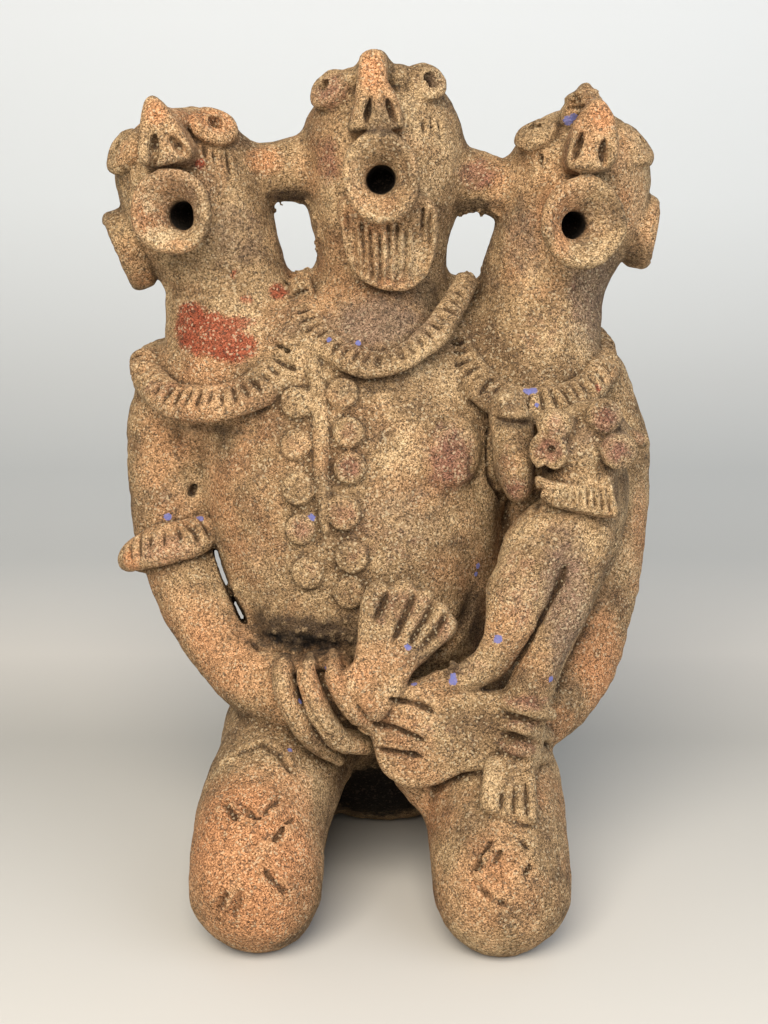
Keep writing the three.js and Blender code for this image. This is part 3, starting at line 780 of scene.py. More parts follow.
child = {
    "head": [(573, 447, -60, 36, 19), (590, 440, -58, 40, 19)],
    "discs": [((551, 449), (-0.35, -0.92, -0.08), 8.9, 7.0), ((616, 449), (0.25, -0.96, -0.08), 8.2, 6.4),
        ((603, 418), (0.15, -0.85, 0.5), 8.0, 5.0)],
    "lump": [(552, 423, -73, 15, 8), (560, 425, -73, 15, 8)],
    "ear": [(628, 437, -58, 10, 8), (640, 439, -56, 9, 7)],
    "neck": [(580, 474, -60, 37, 17), (580, 496, -60, 37, 17)],
    "ruff": [(536, 477), (552, 483), (575, 486), (597, 483), (609, 478), (613, 494), (618, 516), (602, 515),
        (576, 510), (555, 506), (543, 501), (538, 490)],
    "backing": [(590, 445, -38, 34, 24), (592, 490, -38, 34, 24), (588, 535, -42, 34, 22),
        (570, 585, -46, 30, 20), (552, 635, -54, 24, 18), (532, 690, -66, 20, 16)],
    "body": [(582, 500, -58, 38, 15), (572, 525, -60, 44, 17), (556, 552, -62, 52, 18),
        (546, 575, -62, 50, 17)],
    "tuckedLeg": [(538, 560, -68, 32, 15), (520, 590, -72, 32, 15), (507, 625, -75, 28, 15),
        (488, 655, -78, 24, 14), (462, 675, -81, 18, 12), (437, 684, -83, 11, 9), (408, 690, -84, 6, 6)],
    "leg": [(590, 535, -64, 24, 13), (584, 562, -68, 23, 12), (570, 600, -74, 21, 11.5),
        (552, 640, -80, 20.5, 11.5), (536, 675, -84, 22, 12), (527, 705, -86, 24, 12),
        (522, 745, -88, 21, 10), (514, 775, -90, 20, 9)],
    "anklets": [[(506, 702), (528, 709), (550, 713)], [(506, 723), (526, 728), (547, 733)],
        [(503, 742), (524, 749), (543, 754)]],
    "foot": [(487, 762), (483, 780), (480, 798), (483, 812), (508, 820), (533, 825), (537, 812), (535, 790),
        (532, 764), (510, 756)],
    "toeLines": [[(503, 786), (500, 813)], [(515, 784), (513, 817)], [(525, 782), (528, 820)]],
    "underHand": [(418, 772, -68, 24, 16), (432, 800, -70, 16, 14), (440, 822, -72, 12, 12)],
    "ringPlace": (551, 450), "folds": {"first": 540, "gap": 6.6, "count": 11},
    "chinHollow": [(543, 468, -72, 7, 9), (551, 470, -72, 5, 8)],
    "brow": [(593, 424), (602, 430), (612, 428)],
    "betweenLegs": [(566, 563), (553, 600), (531, 640), (512, 676), (500, 694)],
    "besideArm": [(618, 530), (606, 575), (592, 612), (572, 652), (559, 690)],
}


def makeChild():
    for name, fine, blend in (("backing", 4, 4), ("body", 4, 4), ("leg", 4, 1.3), ("tuckedLeg", 4, 1.3),
                              ("head", 2, 2), ("ear", 2, 2), ("neck", 2, 2), ("lump", 2, 1.5)):
        join(seenRoll(child[name], fine=fine), blend)
    for (px, py), axis, radius, thick in child["discs"]:
        join(drum(seen(px, py), axis, radius, thick, 2.0), 1.0)
    for line in child["anklets"]:
        points = [seen(px, py) + (0, -1, 0) for px, py in line]
        join(roll([(*p, 3.5, 4.8) for p in points], fine=4), 0.6)
    p = seen(576, 496)
    join(slab(child["ruff"], p + (0, -1.5, 0), (0.02, -0.88, 0.48), 4.0, 3.0), 1.0)
    join(seenRoll(child["underHand"], fine=2), 3)
    ground = seen(508, 800)
    join(slab(child["foot"], ground + (0, 0.5, 1.0), (0, -0.72, 0.7), 6.0, 3.5), 1.2)


def finishChild():
    ring, axis = seen(*child["ringPlace"]), child["discs"][0][1]
    cut(ringAround(ring, axis, 4.2, 0.9), 0.6)
    cut(drum(ring, axis, 1.9, 2.5, 0.5), 0.6)
    folds = child["folds"]
    for n in range(folds["count"]):  # the ruff's folds spread from top to bottom
        x, off = folds["first"] + n * folds["gap"], n - folds["count"] // 2
        top, bottom = (x + 1, 486 - abs(off) * 0.6), ((x - 576) * 1.12 + 577, 508 + off * 1.3)
        score([top, bottom], 1.5, 2.4, step=5)
    cut(seenRoll(child["chinHollow"], fine=2, margin=5), 1.2)
    score(child["brow"], 0.9, 1.2)
    score(child["betweenLegs"], 1.6, 2.6, blend=1.8)
    score(child["besideArm"], 1.5, 1.5, blend=1.8)
    for line in child["toeLines"]:
        score(line, 1.3, 2.6)


# Lines and hollows cut in the wet clay: pixels, half width, depth and lip

cuts = {
    "knees": dict(
        half=2.1, depth=1.2, lip=0.8,
        lines=[[(218, 797), (234, 817), (250, 837)], [(298, 813), (278, 836), (258, 859)],
            [(263, 868), (287, 898)], [(237, 879), (215, 912)], [(242, 891), (231, 918)],
            [(226, 768), (241, 752), (261, 744), (280, 755), (293, 773)],
            [(236, 800), (258, 822), (279, 800)], [(494, 838), (470, 880)], [(508, 844), (489, 866)],
            [(517, 838), (532, 856)], [(496, 900), (507, 907)], [(470, 880), (492, 900)],
            [(534, 860), (516, 886)]],
    ),
    "cheeks": dict(
        half=1.05, depth=2.2, lip=0.5,
        lines=[[(212, 150), (217, 166)], [(225, 150), (232, 175)], [(203, 146), (207, 160)],
            [(130, 170), (131, 186)], [(122, 178), (123, 190)], [(137, 176), (136, 190)],
            [(432, 116), (433, 133)], [(440, 120), (442, 138)], [(424, 120), (425, 132)],
            [(533, 156), (532, 168)], [(542, 153), (541, 166)], [(626, 160), (627, 172)],
            [(569, 97), (592, 93)], [(571, 103), (590, 99)], [(568, 109), (585, 106)]],
    ),
    "seams": dict(
        half=1.2, depth=2.6, lip=0,
        lines=[[(309, 347), (309, 357)], [(484, 402), (492, 416), (516, 421), (543, 419)],
            [(489, 425), (487, 450), (490, 475), (500, 496), (514, 507), (528, 500)],
            [(262, 648), (290, 652), (320, 646)], [(250, 636), (262, 652)]],
    ),
    # right through, between arm and belly
    "slit": [(215, 549), (222, 572), (232, 596), (244, 621)],
    "windows": [(298, 262, 5.3), (305, 261, 5.3), (461, 259, 5.5), (469, 258, 5.5)],
    # pixel x, pixel y, depth, half width px, half depth mm
    "hollows": [
        [(192, 490, -24, 4.5, 12), (190, 496, -24, 4, 12)],
        [(478, 590, -62, 10, 20), (474, 622, -62, 14, 24), (455, 652, -64, 15, 22), (436, 668, -70, 9, 16)],
        [(541, 488, -60, 4, 12), (536, 500, -58, 5, 12)],
        [(309, 350, -44, 2.5, 8), (310, 356, -44, 2.5, 8)],
    ],
    "armGroove": [(172, 432), (184, 460), (192, 488)],  # a soft one, between the arm and the chest
}


def makeCuts():
    for kind in ("knees", "cheeks", "seams"):
        for line in cuts[kind]["lines"]:
            score(line, cuts[kind]["half"], cuts[kind]["depth"], cuts[kind]["lip"])
    score(cuts["armGroove"], 4.0, 1.7, blend=4)
    for line in cuts["hollows"]:
        cut(seenRoll(line, fine=3), 2)
    for px, py, half in cuts["windows"]:
        cut(roll([(*at(px, py, y), half) for y in (-75, 75)], fine=2, margin=6), 2.0)
    middle = sight(*cuts["slit"][1])
    for y in (-70, -50, -30, -10, 10, 30):
        cut(roll([(*at(px, py, y), half, 12) for (px, py), half in zip(cuts["slit"], (2.0, 2.4, 1.5, 2.0))],
                 deep=middle, fine=3, margin=5), 0.8)


# Crumbs of sandy clay left under the bars, at the bottom of the windows and below the belly

crumbs = {
    "size": 1.5,
    # pixel ends of a line, how far they stray from it in pixels, how many
    "seats": [((276, 203), (313, 203), 3, 26), ((292, 270), (316, 271), 2.5, 14),
        ((452, 210), (497, 214), 3, 26), ((455, 269), (484, 269), 2.5, 14), ((262, 648), (350, 638), 9, 60),
        ((430, 676), (452, 664), 4, 12), ((226, 583), (233, 594), 2.5, 9),
        ((316, 215), (318, 262), 1.5, 12), ((448, 222), (451, 262), 1.5, 12)],
}


def makeCrumbs():
    rng = np.random.default_rng(17)
    points, facings = [], []
    for start, end, stray, count in crumbs["seats"]:
        for _ in range(count):
            px, py = np.array(start) + (np.array(end) - start) * rng.random() + rng.normal(0, stray, 2)
            p = seen(px, py)
            if abs(sample(p)[0]) < 1.0:
                points.append(p)
                facings.append(rng.normal(size=3) + facingAt(p))
    crumb = markObject("crumb", (crumbs["size"], crumbs["size"] * 0.8, crumbs["size"] * 0.7), 2.6)
    join(setMarks("clayCrumbs", crumb, points, facings, [(1, 0, 0)] * len(points), sizeJitter=0.45,
                  turnJitter=3.0, seed=31), 0.5)
    bpy.data.objects.remove(crumb)


# Uneven hand modelling and a weathered, sandy skin

skinWear = [(26, 0.9), (12, 0.55), (5.5, 0.38), (2.6, 0.18)]  # lattice size and height of each scale, in mm
firstWearSeed = 40


def spreadWeights(count, size):  # smooth weights from a coarse lattice to the cells
    place = np.arange(count) * cell / size
    i = np.floor(place).astype(int)
    f = place - i
    weights = np.zeros((count, i.max() + 2), np.float32)
    weights[np.arange(count), i] = 1 - f * f * (3 - 2 * f)
    weights[np.arange(count), i + 1] = f * f * (3 - 2 * f)
    return weights


def unevenBlock(size, height, seed):
    wx, wy, wz = (spreadWeights(n, size) for n in blockCount)
    rng = np.random.default_rng(seed)
    lattice = rng.uniform(-1, 1, (wx.shape[1], wy.shape[1], wz.shape[1])).astype(np.float32)
    rows = np.tensordot(wx, lattice, (1, 0))
    rows = np.einsum("ijk,yj->iyk", rows, wy, optimize=True)
    return np.einsum("iyk,zk->iyz", rows, wz, optimize=True) * height


def weather():
    for n, (size, height) in enumerate(skinWear):
        np.add(clay, unevenBlock(size, height, firstWearSeed + n), out=clay)


def standFlat():  # what touches the ground is pressed flat
    z = blockLow[2] + cell * np.arange(blockCount[2])
    np.maximum(clay, (1.5 - z)[None, None, :].astype(np.float32), out=clay)


def boxBlur(block, cells):
    for axis in range(3):
        rim = [(cells + 1, cells) if k == axis else (0, 0) for k in range(3)]
        total = np.cumsum(np.pad(block, rim, "edge"), axis=axis, dtype=np.float32)
        n = block.shape[axis]
        lead = np.take(total, np.arange(2 * cells + 1, 2 * cells + 1 + n), axis=axis)
        block = (lead - np.take(total, np.arange(0, n), axis=axis)) / (2 * cells + 1)
    return block


makeTrunk()
makeLeg(-1)
makeLeg(1)
print("trunk and legs done")
for name in heads:
    makeHead(name)
for path in bars.values():
    join(roll(path, fine=3), 5)
makeBeard()
for name in heads:
    finishHead(name)
cutBeard()
print("heads done")
makeArms()
makeChest()
for name in ("leftCollar", "rightCollar", "middleCollar", "armlet"):
    makeBand(name)
makeHand("left")
makeWrist()
print("arms, collars and chest done")
makeChild()
makeHand("right")
finishChild()
makeCuts()
makeCrumbs()
weather()
standFlat()
print("carving done")


# Mesh of the skin

def meshSkin(name):
    grid = vdb.FloatGrid(12.0)
    grid.copyFromArray(clay)
    grid.transform = vdb.createLinearTransform(voxelSize=cell)
    points, triangles, quads = grid.convertToPolygons(isovalue=0.0, adaptivity=0.0)
    points = points + blockLow
    mesh = bpy.data.meshes.new(name)
    faces = np.concatenate([quads.ravel(), triangles.ravel()]).astype(np.int32)
    sizes = np.concatenate([np.full(len(quads), 4), np.full(len(triangles), 3)]).astype(np.int32)
    mesh.vertices.add(len(points))
    mesh.vertices.foreach_set("co", ((points + toFrame) / 1000).astype(np.float32).ravel())
    mesh.loops.add(len(faces))
    mesh.loops.foreach_set("vertex_index", faces)
    mesh.polygons.add(len(sizes))
    mesh.polygons.foreach_set("loop_start", np.concatenate([[0], np.cumsum(sizes)[:-1]]).astype(np.int32))
    mesh.update(calc_edges=True)
    mesh.validate()
    return mesh


def largestShell(mesh):  # crumbs that came loose and pockets inside are dropped
    count = len(mesh.vertices)
    edges = np.empty(len(mesh.edges) * 2, np.int32)
    mesh.edges.foreach_get("vertices", edges)
    edges = edges.reshape(-1, 2)
    label = np.arange(count)
    while True:
        low = np.minimum(label[edges[:, 0]], label[edges[:, 1]])
        fresh = label.copy()
        np.minimum.at(fresh, edges[:, 0], low)
        np.minimum.at(fresh, edges[:, 1], low)
        fresh = fresh[fresh]
        if np.array_equal(fresh, label):
            break
        label = fresh
    main = np.bincount(label).argmax()
    return np.nonzero(label != main)[0]


figureMesh = meshSkin("terracottaFigure")
loose = largestShell(figureMesh)
if len(loose):
    shell = bmesh.new()
    shell.from_mesh(figureMesh)
    shell.verts.ensure_lookup_table()
    bmesh.ops.delete(shell, geom=[shell.verts[i] for i in loose], context="VERTS")
    shell.to_mesh(figureMesh)
    shell.free()
figure = bpy.data.objects.new("terracottaFigure", figureMesh)
bpy.context.scene.collection.objects.link(figure)
figureMesh.calc_loop_triangles()
print("skin meshed:", len(figureMesh.loop_triangles), "triangles,", len(loose), "loose points dropped")

if len(figureMesh.loop_triangles) > clayBlock["triangles"]:
    thin = figure.modifiers.new("thin", "DECIMATE")
    thin.ratio = clayBlock["triangles"] / len(figureMesh.loop_triangles)
    thinned = bpy.data.meshes.new_from_object(figure.evaluated_get(bpy.context.evaluated_depsgraph_get()))
    figure.modifiers.clear()
    figure.data = thinned
    bpy.data.meshes.remove(figureMesh)
    figureMesh = thinned
figureMesh.name = "terracottaFigure"
figureMesh.polygons.foreach_set("use_smooth", np.ones(len(figureMesh.polygons), bool))
print("thinned to", len(figureMesh.polygons), "faces")


# What the surface's colour depends on: creases, which take painted shade, and stains where the photograph
# shows them, some of them painted shade or painted light

corners = np.empty(len(figureMesh.vertices) * 3, np.float32)
figureMesh.vertices.foreach_get("co", corners)
corners = corners.reshape(-1, 3) * 1000 - toFrame

# pixel x, pixel y, half width, half height, strength
stains = {
    "red": [(205, 333, 36, 20, 1.0), (190, 316, 20, 14, 0.9), (232, 346, 24, 16, 0.95),
        (240, 322, 18, 9, 0.7), (278, 292, 10, 9, 0.9), (246, 299, 10, 6, 0.7), (233, 273, 4, 7, 0.7),
        (200, 164, 5, 5, 1.0), (598, 388, 4, 5, 0.8), (530, 350, 12, 8, 0.35)],
    "rust": [(452, 460, 26, 36, 0.9), (328, 160, 15, 26, 0.8), (329, 90, 22, 18, 0.9),
        (427, 84, 18, 15, 0.45), (478, 175, 24, 18, 0.8), (272, 172, 14, 12, 0.45), (549, 448, 16, 16, 0.9),
        (604, 419, 14, 12, 0.9), (615, 451, 15, 15, 0.9), (556, 422, 12, 12, 0.7), (640, 440, 9, 9, 0.8),
        (508, 462, 15, 20, 0.6), (516, 490, 16, 14, 0.8), (520, 588, 26, 60, 0.6), (566, 590, 24, 60, 0.5),
        (540, 540, 40, 24, 0.45), (468, 668, 30, 14, 0.55), (430, 730, 42, 20, 0.5),
        (528, 704, 30, 8, 0.85), (524, 727, 28, 7, 0.7), (522, 752, 26, 8, 0.85), (400, 608, 42, 26, 0.6),
        (442, 630, 12, 16, 0.7), (540, 335, 36, 30, 0.5), (580, 300, 22, 40, 0.45),
        (390, 545, 40, 26, 0.45), (340, 588, 24, 20, 0.35), (160, 388, 26, 12, 0.6), (225, 414, 50, 7, 0.4),
        (375, 376, 50, 8, 0.5), (165, 550, 44, 18, 0.7), (298, 445, 14, 14, 0.5), (301, 529, 14, 14, 0.8),
        (308, 573, 16, 16, 0.5), (349, 433, 14, 14, 0.6), (350, 468, 14, 14, 0.75),
        (344, 513, 14, 14, 0.75), (352, 556, 14, 14, 0.6), (349, 593, 14, 14, 0.5), (320, 690, 8, 40, 0.4),
        (345, 710, 8, 40, 0.4), (108, 235, 12, 20, 0.4), (170, 140, 22, 18, 0.35), (590, 205, 12, 40, 0.3),
        (500, 760, 40, 30, 0.3)],
    # the two large patches on the knees are orange tone and also painted light that brightens the knees'
    # fronts
    "orange": [(250, 860, 66, 100, 1.05), (285, 780, 40, 40, 0.5), (500, 885, 60, 70, 0.6),
        (150, 455, 26, 64, 0.6), (222, 655, 52, 62, 0.7), (130, 560, 14, 12, 0.9), (600, 655, 36, 60, 0.75),
        (560, 725, 30, 30, 0.7), (262, 160, 22, 20, 0.8), (156, 112, 11, 14, 0.9), (213, 124, 26, 17, 0.85),
        (125, 152, 22, 22, 0.6), (602, 116, 16, 16, 0.9), (372, 70, 13, 24, 0.8), (176, 247, 32, 10, 0.6),
        (560, 240, 14, 24, 0.7), (108, 235, 14, 24, 0.8), (140, 280, 20, 16, 0.7), (300, 410, 14, 10, 0.4),
        (620, 262, 18, 20, 0.3), (640, 520, 12, 60, 0.5), (350, 250, 10, 10, 0.4), (580, 85, 10, 12, 0.5),
        (410, 470, 30, 30, 0.35)],
    "pale": [(162, 237, 24, 14, 0.7), (150, 200, 20, 20, 0.6), (196, 235, 14, 14, 0.5),
        (384, 216, 24, 8, 0.6), (384, 150, 22, 10, 0.4), (596, 244, 22, 10, 0.6), (400, 255, 28, 28, 0.75),
        (352, 250, 12, 22, 0.6), (240, 394, 34, 8, 0.5), (500, 396, 22, 9, 0.6), (545, 402, 18, 10, 0.5),
        (430, 350, 42, 26, 0.45), (350, 690, 10, 20, 0.5), (530, 545, 20, 20, 0.5), (576, 494, 36, 8, 0.6),
        (580, 350, 30, 24, 0.5), (300, 400, 12, 10, 0.5), (343, 394, 12, 10, 0.6), (380, 300, 30, 20, 0.35),
        (315, 420, 6, 40, 0.3), (420, 120, 20, 20, 0.4), (250, 460, 40, 30, 0.3), (470, 750, 30, 14, 0.35)],
    # painted shade: near black where the gap under the belly and the space between the knees lie in shadow
    "paintedShade": [(300, 641, 50, 10, 0.9), (380, 794, 60, 46, 1.2), (350, 800, 16, 34, 1.0)],
    "ash": [(380, 322, 52, 26, 1.1), (592, 296, 30, 56, 1.0), (524, 240, 22, 44, 0.8),
        (240, 236, 40, 40, 0.7), (150, 290, 40, 14, 0.6), (170, 190, 60, 60, 0.6), (452, 452, 26, 34, 0.8),
        (566, 600, 26, 80, 1.0), (430, 84, 18, 15, 0.9), (400, 520, 70, 50, 0.6), (270, 560, 60, 50, 0.5),
        (596, 215, 34, 26, 0.6), (400, 640, 40, 40, 0.5), (180, 500, 30, 30, 0.5), (384, 196, 38, 20, 0.4),
        (440, 740, 50, 24, 0.5), (620, 440, 24, 50, 0.8), (580, 440, 40, 30, 0.6), (290, 330, 40, 20, 0.5)],
    # soot marks and painted shade: the patches under the collars and the bars, under the belly, between the
    # knees and in the deep hollows paint shadow; the rest are soot marks
    "sootAndShade": [(305, 634, 66, 20, 1.1), (262, 625, 14, 22, 0.9), (345, 625, 14, 22, 0.7),
        (470, 615, 15, 36, 1.0), (452, 662, 20, 14, 1.0), (290, 196, 24, 9, 0.95), (475, 205, 26, 9, 0.95),
        (376, 112, 17, 17, 0.75), (622, 205, 14, 30, 0.7), (523, 205, 12, 22, 0.5), (640, 252, 18, 22, 0.7),
        (503, 275, 16, 34, 0.35), (432, 300, 22, 22, 0.8), (392, 314, 40, 20, 0.6), (340, 300, 14, 24, 0.4),
        (378, 132, 28, 5, 0.9), (548, 469, 10, 8, 1.0), (210, 429, 52, 6, 0.8), (375, 389, 52, 6, 0.7),
        (518, 424, 32, 5, 1.0), (626, 480, 15, 56, 0.55), (478, 850, 26, 34, 0.4), (252, 245, 20, 34, 0.5),
        (160, 262, 40, 14, 0.5), (240, 200, 16, 30, 0.35), (150, 265, 34, 9, 0.5), (535, 268, 16, 20, 0.4),
        (548, 640, 14, 44, 0.35), (192, 490, 12, 12, 0.7), (620, 425, 20, 10, 0.6), (585, 165, 30, 8, 0.45),
        (590, 545, 16, 20, 0.4), (385, 792, 46, 40, 1.0), (330, 800, 12, 40, 0.5), (186, 466, 9, 32, 0.5),
        (200, 880, 14, 40, 0.3), (538, 130, 18, 12, 0.45)],
}
# small spots of blue paint: pixel x, pixel y, radius in mm
flecks = {
    "blue": [(527, 391, 2.2), (533, 390, 2.4), (537, 405, 1.2), (498, 639, 2.2), (453, 681, 2.2),
        (453, 676, 1.6), (408, 647, 1.7), (414, 684, 1.6), (551, 679, 1.6), (326, 669, 1.4),
        (300, 701, 1.5), (311, 518, 2.0), (200, 518, 2.0), (168, 517, 2.0), (358, 343, 1.5),
        (478, 566, 1.5), (476, 574, 1.3), (568, 121, 2.6), (574, 117, 2.0), (329, 340, 1.4),
        (290, 750, 1.2)],
}


def stainValues(patches):
    value = np.zeros(len(corners), np.float32)
    for px, py, wide, tall, strength in patches:
        p = seen(px, py)
        half = np.array((wide, max(wide, tall, 14), tall)) * mmPerPixel(p) * 1.15
        far = np.sqrt((((corners - p) / half) ** 2).sum(1))
        value = np.maximum(value, strength * np.clip(1.4 - far * 0.9, 0, 1))
    return value


near = np.clip(clay, -6, 6)
creases = {"fineCrease": sample(corners, boxBlur(near, 2)), "broadCrease": sample(corners, boxBlur(near, 5))}
layers = {key: stainValues(patches) for key, patches in stains.items()}
inside = np.zeros(len(corners))
for head in heads.values():  # painted shade: deep inside each mouth's bore the colour is darkened to near black
    start, axis = boreOf(head["mouth"])
    deep = -(corners - start) @ axis
    off = np.linalg.norm(corners - start + deep[:, None] * axis, axis=1)
    inside = np.maximum(inside, np.clip((deep - 11) / 4, 0, 1) * (off < 9) * (deep < 40))
layers["bore"] = inside
# painted shade: darker colour where the skin folds inward, in fine creases and broad hollows
layers["crease"] = np.clip(0.5 - creases["fineCrease"] * 0.55, 0, 1)
layers["hollow"] = np.clip(0.5 - creases["broadCrease"] * 0.22, 0, 1)
for key, value in layers.items():
    layer = figureMesh.attributes.new(key, "FLOAT", "POINT")
    layer.data.foreach_set("value", value.astype(np.float32))
print("creases:", [round(float(v), 2) for v in np.percentile(layers["crease"], (2, 25, 50, 75, 98))],
      "hollows:", [round(float(v), 2) for v in np.percentile(layers["hollow"], (2, 25, 50, 75, 98))])


# Low-fired sandy terracotta: a dull, gritty body, burnt orange where it is rubbed, with painted light on the
# knees' fronts, and painted shade: brown earth in the hollows, dark in the creases, the shaded gaps and the
# mouths

def linear(code, alpha=1.0):
    parts = [int(code[i:i + 2], 16) / 255 for i in (1, 3, 5)]
    return [c / 12.92 if c <= 0.04045 else ((c + 0.055) / 1.055) ** 2.4 for c in parts] + [alpha]


terracotta = {
    # the colours for creases, hollows, sooty gaps and bores below are partly or wholly painted shade
    "body": "#ab9270", "bodyDark": "#816c54", "bodyLight": "#c9b18c", "orange": "#cb956c", "rust": "#8f6357",
    "red": "#953c2b", "ash": "#8b7869", "sootAndShade": "#40362e", "creaseShade": "#4c3c2c", "earthAndShade": "#655039",
    "pale": "#dccaa6", "blue": "#6c72ac", "bore": "#0c0a08",
    "grainMm": 0.5, "gritMm": 0.95,  # fine sand is about 0.2 mm and is drawn coarser, so that it shows
    # patches, grit, fine grit and broad clouds: size in mm, detail and roughness
    "clouds": [(22, 4.0, 0.6), (4.5, 5.0, 0.6), (1.1, 3.0, 0.75), (60.0, 3.0, 0.6)],
    # how light the grains of sand are, and how much lighter all of it is
    "sand": [(0.0, "#585046"), (0.3, "#a8a195"), (0.7, "#c9c4ba"), (1.0, "#fdf8f0")],
    "sandGain": (1.36, 1.35, 1.38, 1), "paleShare": 0.91, "darkShare": 0.13, "bumpMm": 0.5,
}


def terracottaMaterial():
    made = bpy.data.materials.new("terracotta")
    made.use_nodes = True
    tree = made.node_tree
    tree.nodes.clear()
    perMm = 1000.0  # object coordinates are in metres
    place = node(tree, "ShaderNodeTexCoord").outputs["Object"]
    colour = {key: linear(value) for key, value in terracotta.items() if isinstance(value, str)}
    fired = {key: node(tree, "ShaderNodeAttribute", attribute_name=key).outputs["Fac"] for key in layers}
    patches, grit, fine, broad = (node(tree, "ShaderNodeTexNoise", {
        "Vector": place, "Scale": perMm / size, "Detail": detail, "Roughness": rough,
    }).outputs[0] for size, detail, rough in terracotta["clouds"])
    grain, stones = (node(tree, "ShaderNodeTexVoronoi", {"Vector": place, "Scale": perMm / terracotta[key]})
                     for key in ("grainMm", "gritMm"))
    grainTint, stoneTint = (node(tree, "ShaderNodeSeparateColor", {0: speckles.outputs["Color"]}).outputs
                            for speckles in (grain, stones))

    def total(*parts):  # the sum of values, each times its weight
        reached = 0.0
        for value, weight in parts:
            reached = node(tree, "ShaderNodeMath", {0: value, 1: weight, 2: reached},
                           operation="MULTIPLY_ADD").outputs[0]
        return reached

    def rising(value, start, slope):  # 0 up to start, then up to 1 at this slope. A negative one mirrors it.
        return node(tree, "ShaderNodeMapRange", {0: value, 1: start, 2: start + 1 / slope}).outputs[0]

    def stained(key, noise, slope):  # a stain whose edge breaks up on the grain
        return rising(total((fired[key], 1), (noise, 1)), 0.95, slope)

    def coat(under, over, where, most):  # a colour laid over what is there
        return node(tree, "ShaderNodeMix", {0: total((where, most)), 6: under, 7: over},
                    data_type="RGBA").outputs[2]

    stops = zip((0.34, 0.5, 0.66), (colour["bodyDark"], colour["body"], colour["bodyLight"]))
    tone = node(tree, "ShaderNodeValToRGB", {0: patches}, tuple(stops)).outputs[0]
    for key, where, most in (
            ("orange", rising(broad, 0.5, 3.0), 1.0),
            ("earthAndShade", rising(broad, 0.46, -3.0), 1.0),
            # orange stains, on the knees also painted light
            ("orange", stained("orange", patches, 2.2), 0.85),
            ("ash", stained("ash", grit, 1.8), 0.8),
            ("rust", stained("rust", grit, 2.2), 0.72),
            ("pale", stained("pale", grit, 2.4), 0.75),
            # soot marks and painted shade
            ("sootAndShade", stained("sootAndShade", grit, 2.0), 0.78),
            ("red", stained("red", total((fine, 0.5), (grit, 0.5)), 4.0), 0.78),
            # painted shade: brown earth colour laid into the broad hollows
            ("earthAndShade", rising(total((fired["hollow"], 1), (grit, 0.35)), 0.74, 2.6), 0.9),
            # painted shade in the fine creases
            ("creaseShade", rising(fired["crease"], 0.60, 3.6), 0.85),
            ("bodyLight", rising(fired["crease"], 0.42, -2.5), 0.5),
            # painted shade: near black deep in the mouths and in the shaded gaps under the belly and between
            # the knees
            ("bore", rising(total((fired["bore"], 1), (stained("paintedShade", grit, 2.0), 1)), 0.0, 1.0), 0.95)):
        tone = coat(tone, colour[key], where, most)
    # sand: each grain has its own lightness, with a few nearly white and dark pits between
    sand = [(spot, linear(code)) for spot, code in terracotta["sand"]]
    lightness = node(tree, "ShaderNodeValToRGB", {0: grainTint[0]}, sand).outputs[0]
    for tint in (terracotta["sandGain"], lightness):
        tone = node(tree, "ShaderNodeMix", {0: 1.0, 6: tone, 7: tint}, data_type="RGBA",
                    blend_type="MULTIPLY").outputs[2]
    # pale grit shows only where no painted shade or soot lies
    noShadeOrSoot = rising(total((fired["paintedShade"], 1), (fired["bore"], 1), (fired["sootAndShade"], 1)), 1.0, -1.0)
    paleStone = node(tree, "ShaderNodeMath", {0: stoneTint[1], 1: terracotta["paleShare"]},
                     operation="GREATER_THAN").outputs[0]
    darkStone = node(tree, "ShaderNodeMath", {0: stoneTint[0], 1: terracotta["darkShare"]},
                     operation="LESS_THAN").outputs[0]
    tone = coat(tone, colour["pale"], total((paleStone, noShadeOrSoot)), 0.35)
    tone = coat(tone, colour["sootAndShade"], darkStone, 0.55)
    for px, py, radius in flecks["blue"]:
        spot = (seen(px, py) + toFrame) / 1000
        away = node(tree, "ShaderNodeVectorMath", {0: place, 1: tuple(spot)}, operation="DISTANCE")
        ragged = total((away.outputs["Value"], perMm / radius), (fine, 1.4))
        dab = node(tree, "ShaderNodeMath", {0: ragged, 1: 1.6}, operation="LESS_THAN").outputs[0]
        tone = coat(tone, colour["blue"], dab, 0.85)
    # relief: sand grains over a pitted skin
    heights = total((grain.outputs["Distance"], -0.6), (grit, 0.9), (stones.outputs["Distance"], -0.5),
                    (fine, 0.6))
    bump = node(tree, "ShaderNodeBump", {
        "Height": heights, "Strength": 1.0, "Distance": terracotta["bumpMm"] / perMm})
    shader = node(tree, "ShaderNodeBsdfPrincipled", {
        "Base Color": tone, "Normal": bump.outputs[0], "Roughness": 0.95, "Specular IOR Level": 0.2})
    node(tree, "ShaderNodeOutputMaterial", {0: shader.outputs[0]})
    return made


figureMesh.materials.clear()
figureMesh.materials.append(terracottaMaterial())
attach(figure, "root")
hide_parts("kneeling_figure")
print("terracotta done")


# Studio: a pale paper sweep, soft light from above and the left, and the photograph's camera

studio = {
    "shades": [  # of the paper, from its front edge to its top
        (0.0, "#d8d8d4"), (0.15, "#c6c5c0"), (0.24, "#b2b1ac"), (0.29, "#d2cfc9"), (0.37, "#c4c5c3"),
        (0.453, "#bcbfbf"), (0.526, "#c9cccc"), (0.66, "#e2e7e9"), (0.766, "#ebf0f3"),
    ],
    "paperWidth": 3.2, "paperFront": -1.6, "paperBack": 1.1, "bend": 0.45, "paperTop": 2.2,
    "key": dict(place=(-0.25, -1.2, 1.08), size=1.0, power=36, colour="#fff4e6"),
    "fill": dict(place=(0.9, -0.8, 0.8), size=1.2, power=9, colour="#eef3ff"),
    "target": (0, 0, 0.2), "skyColour": "#e6ebf0", "skyStrength": 0.36,
}


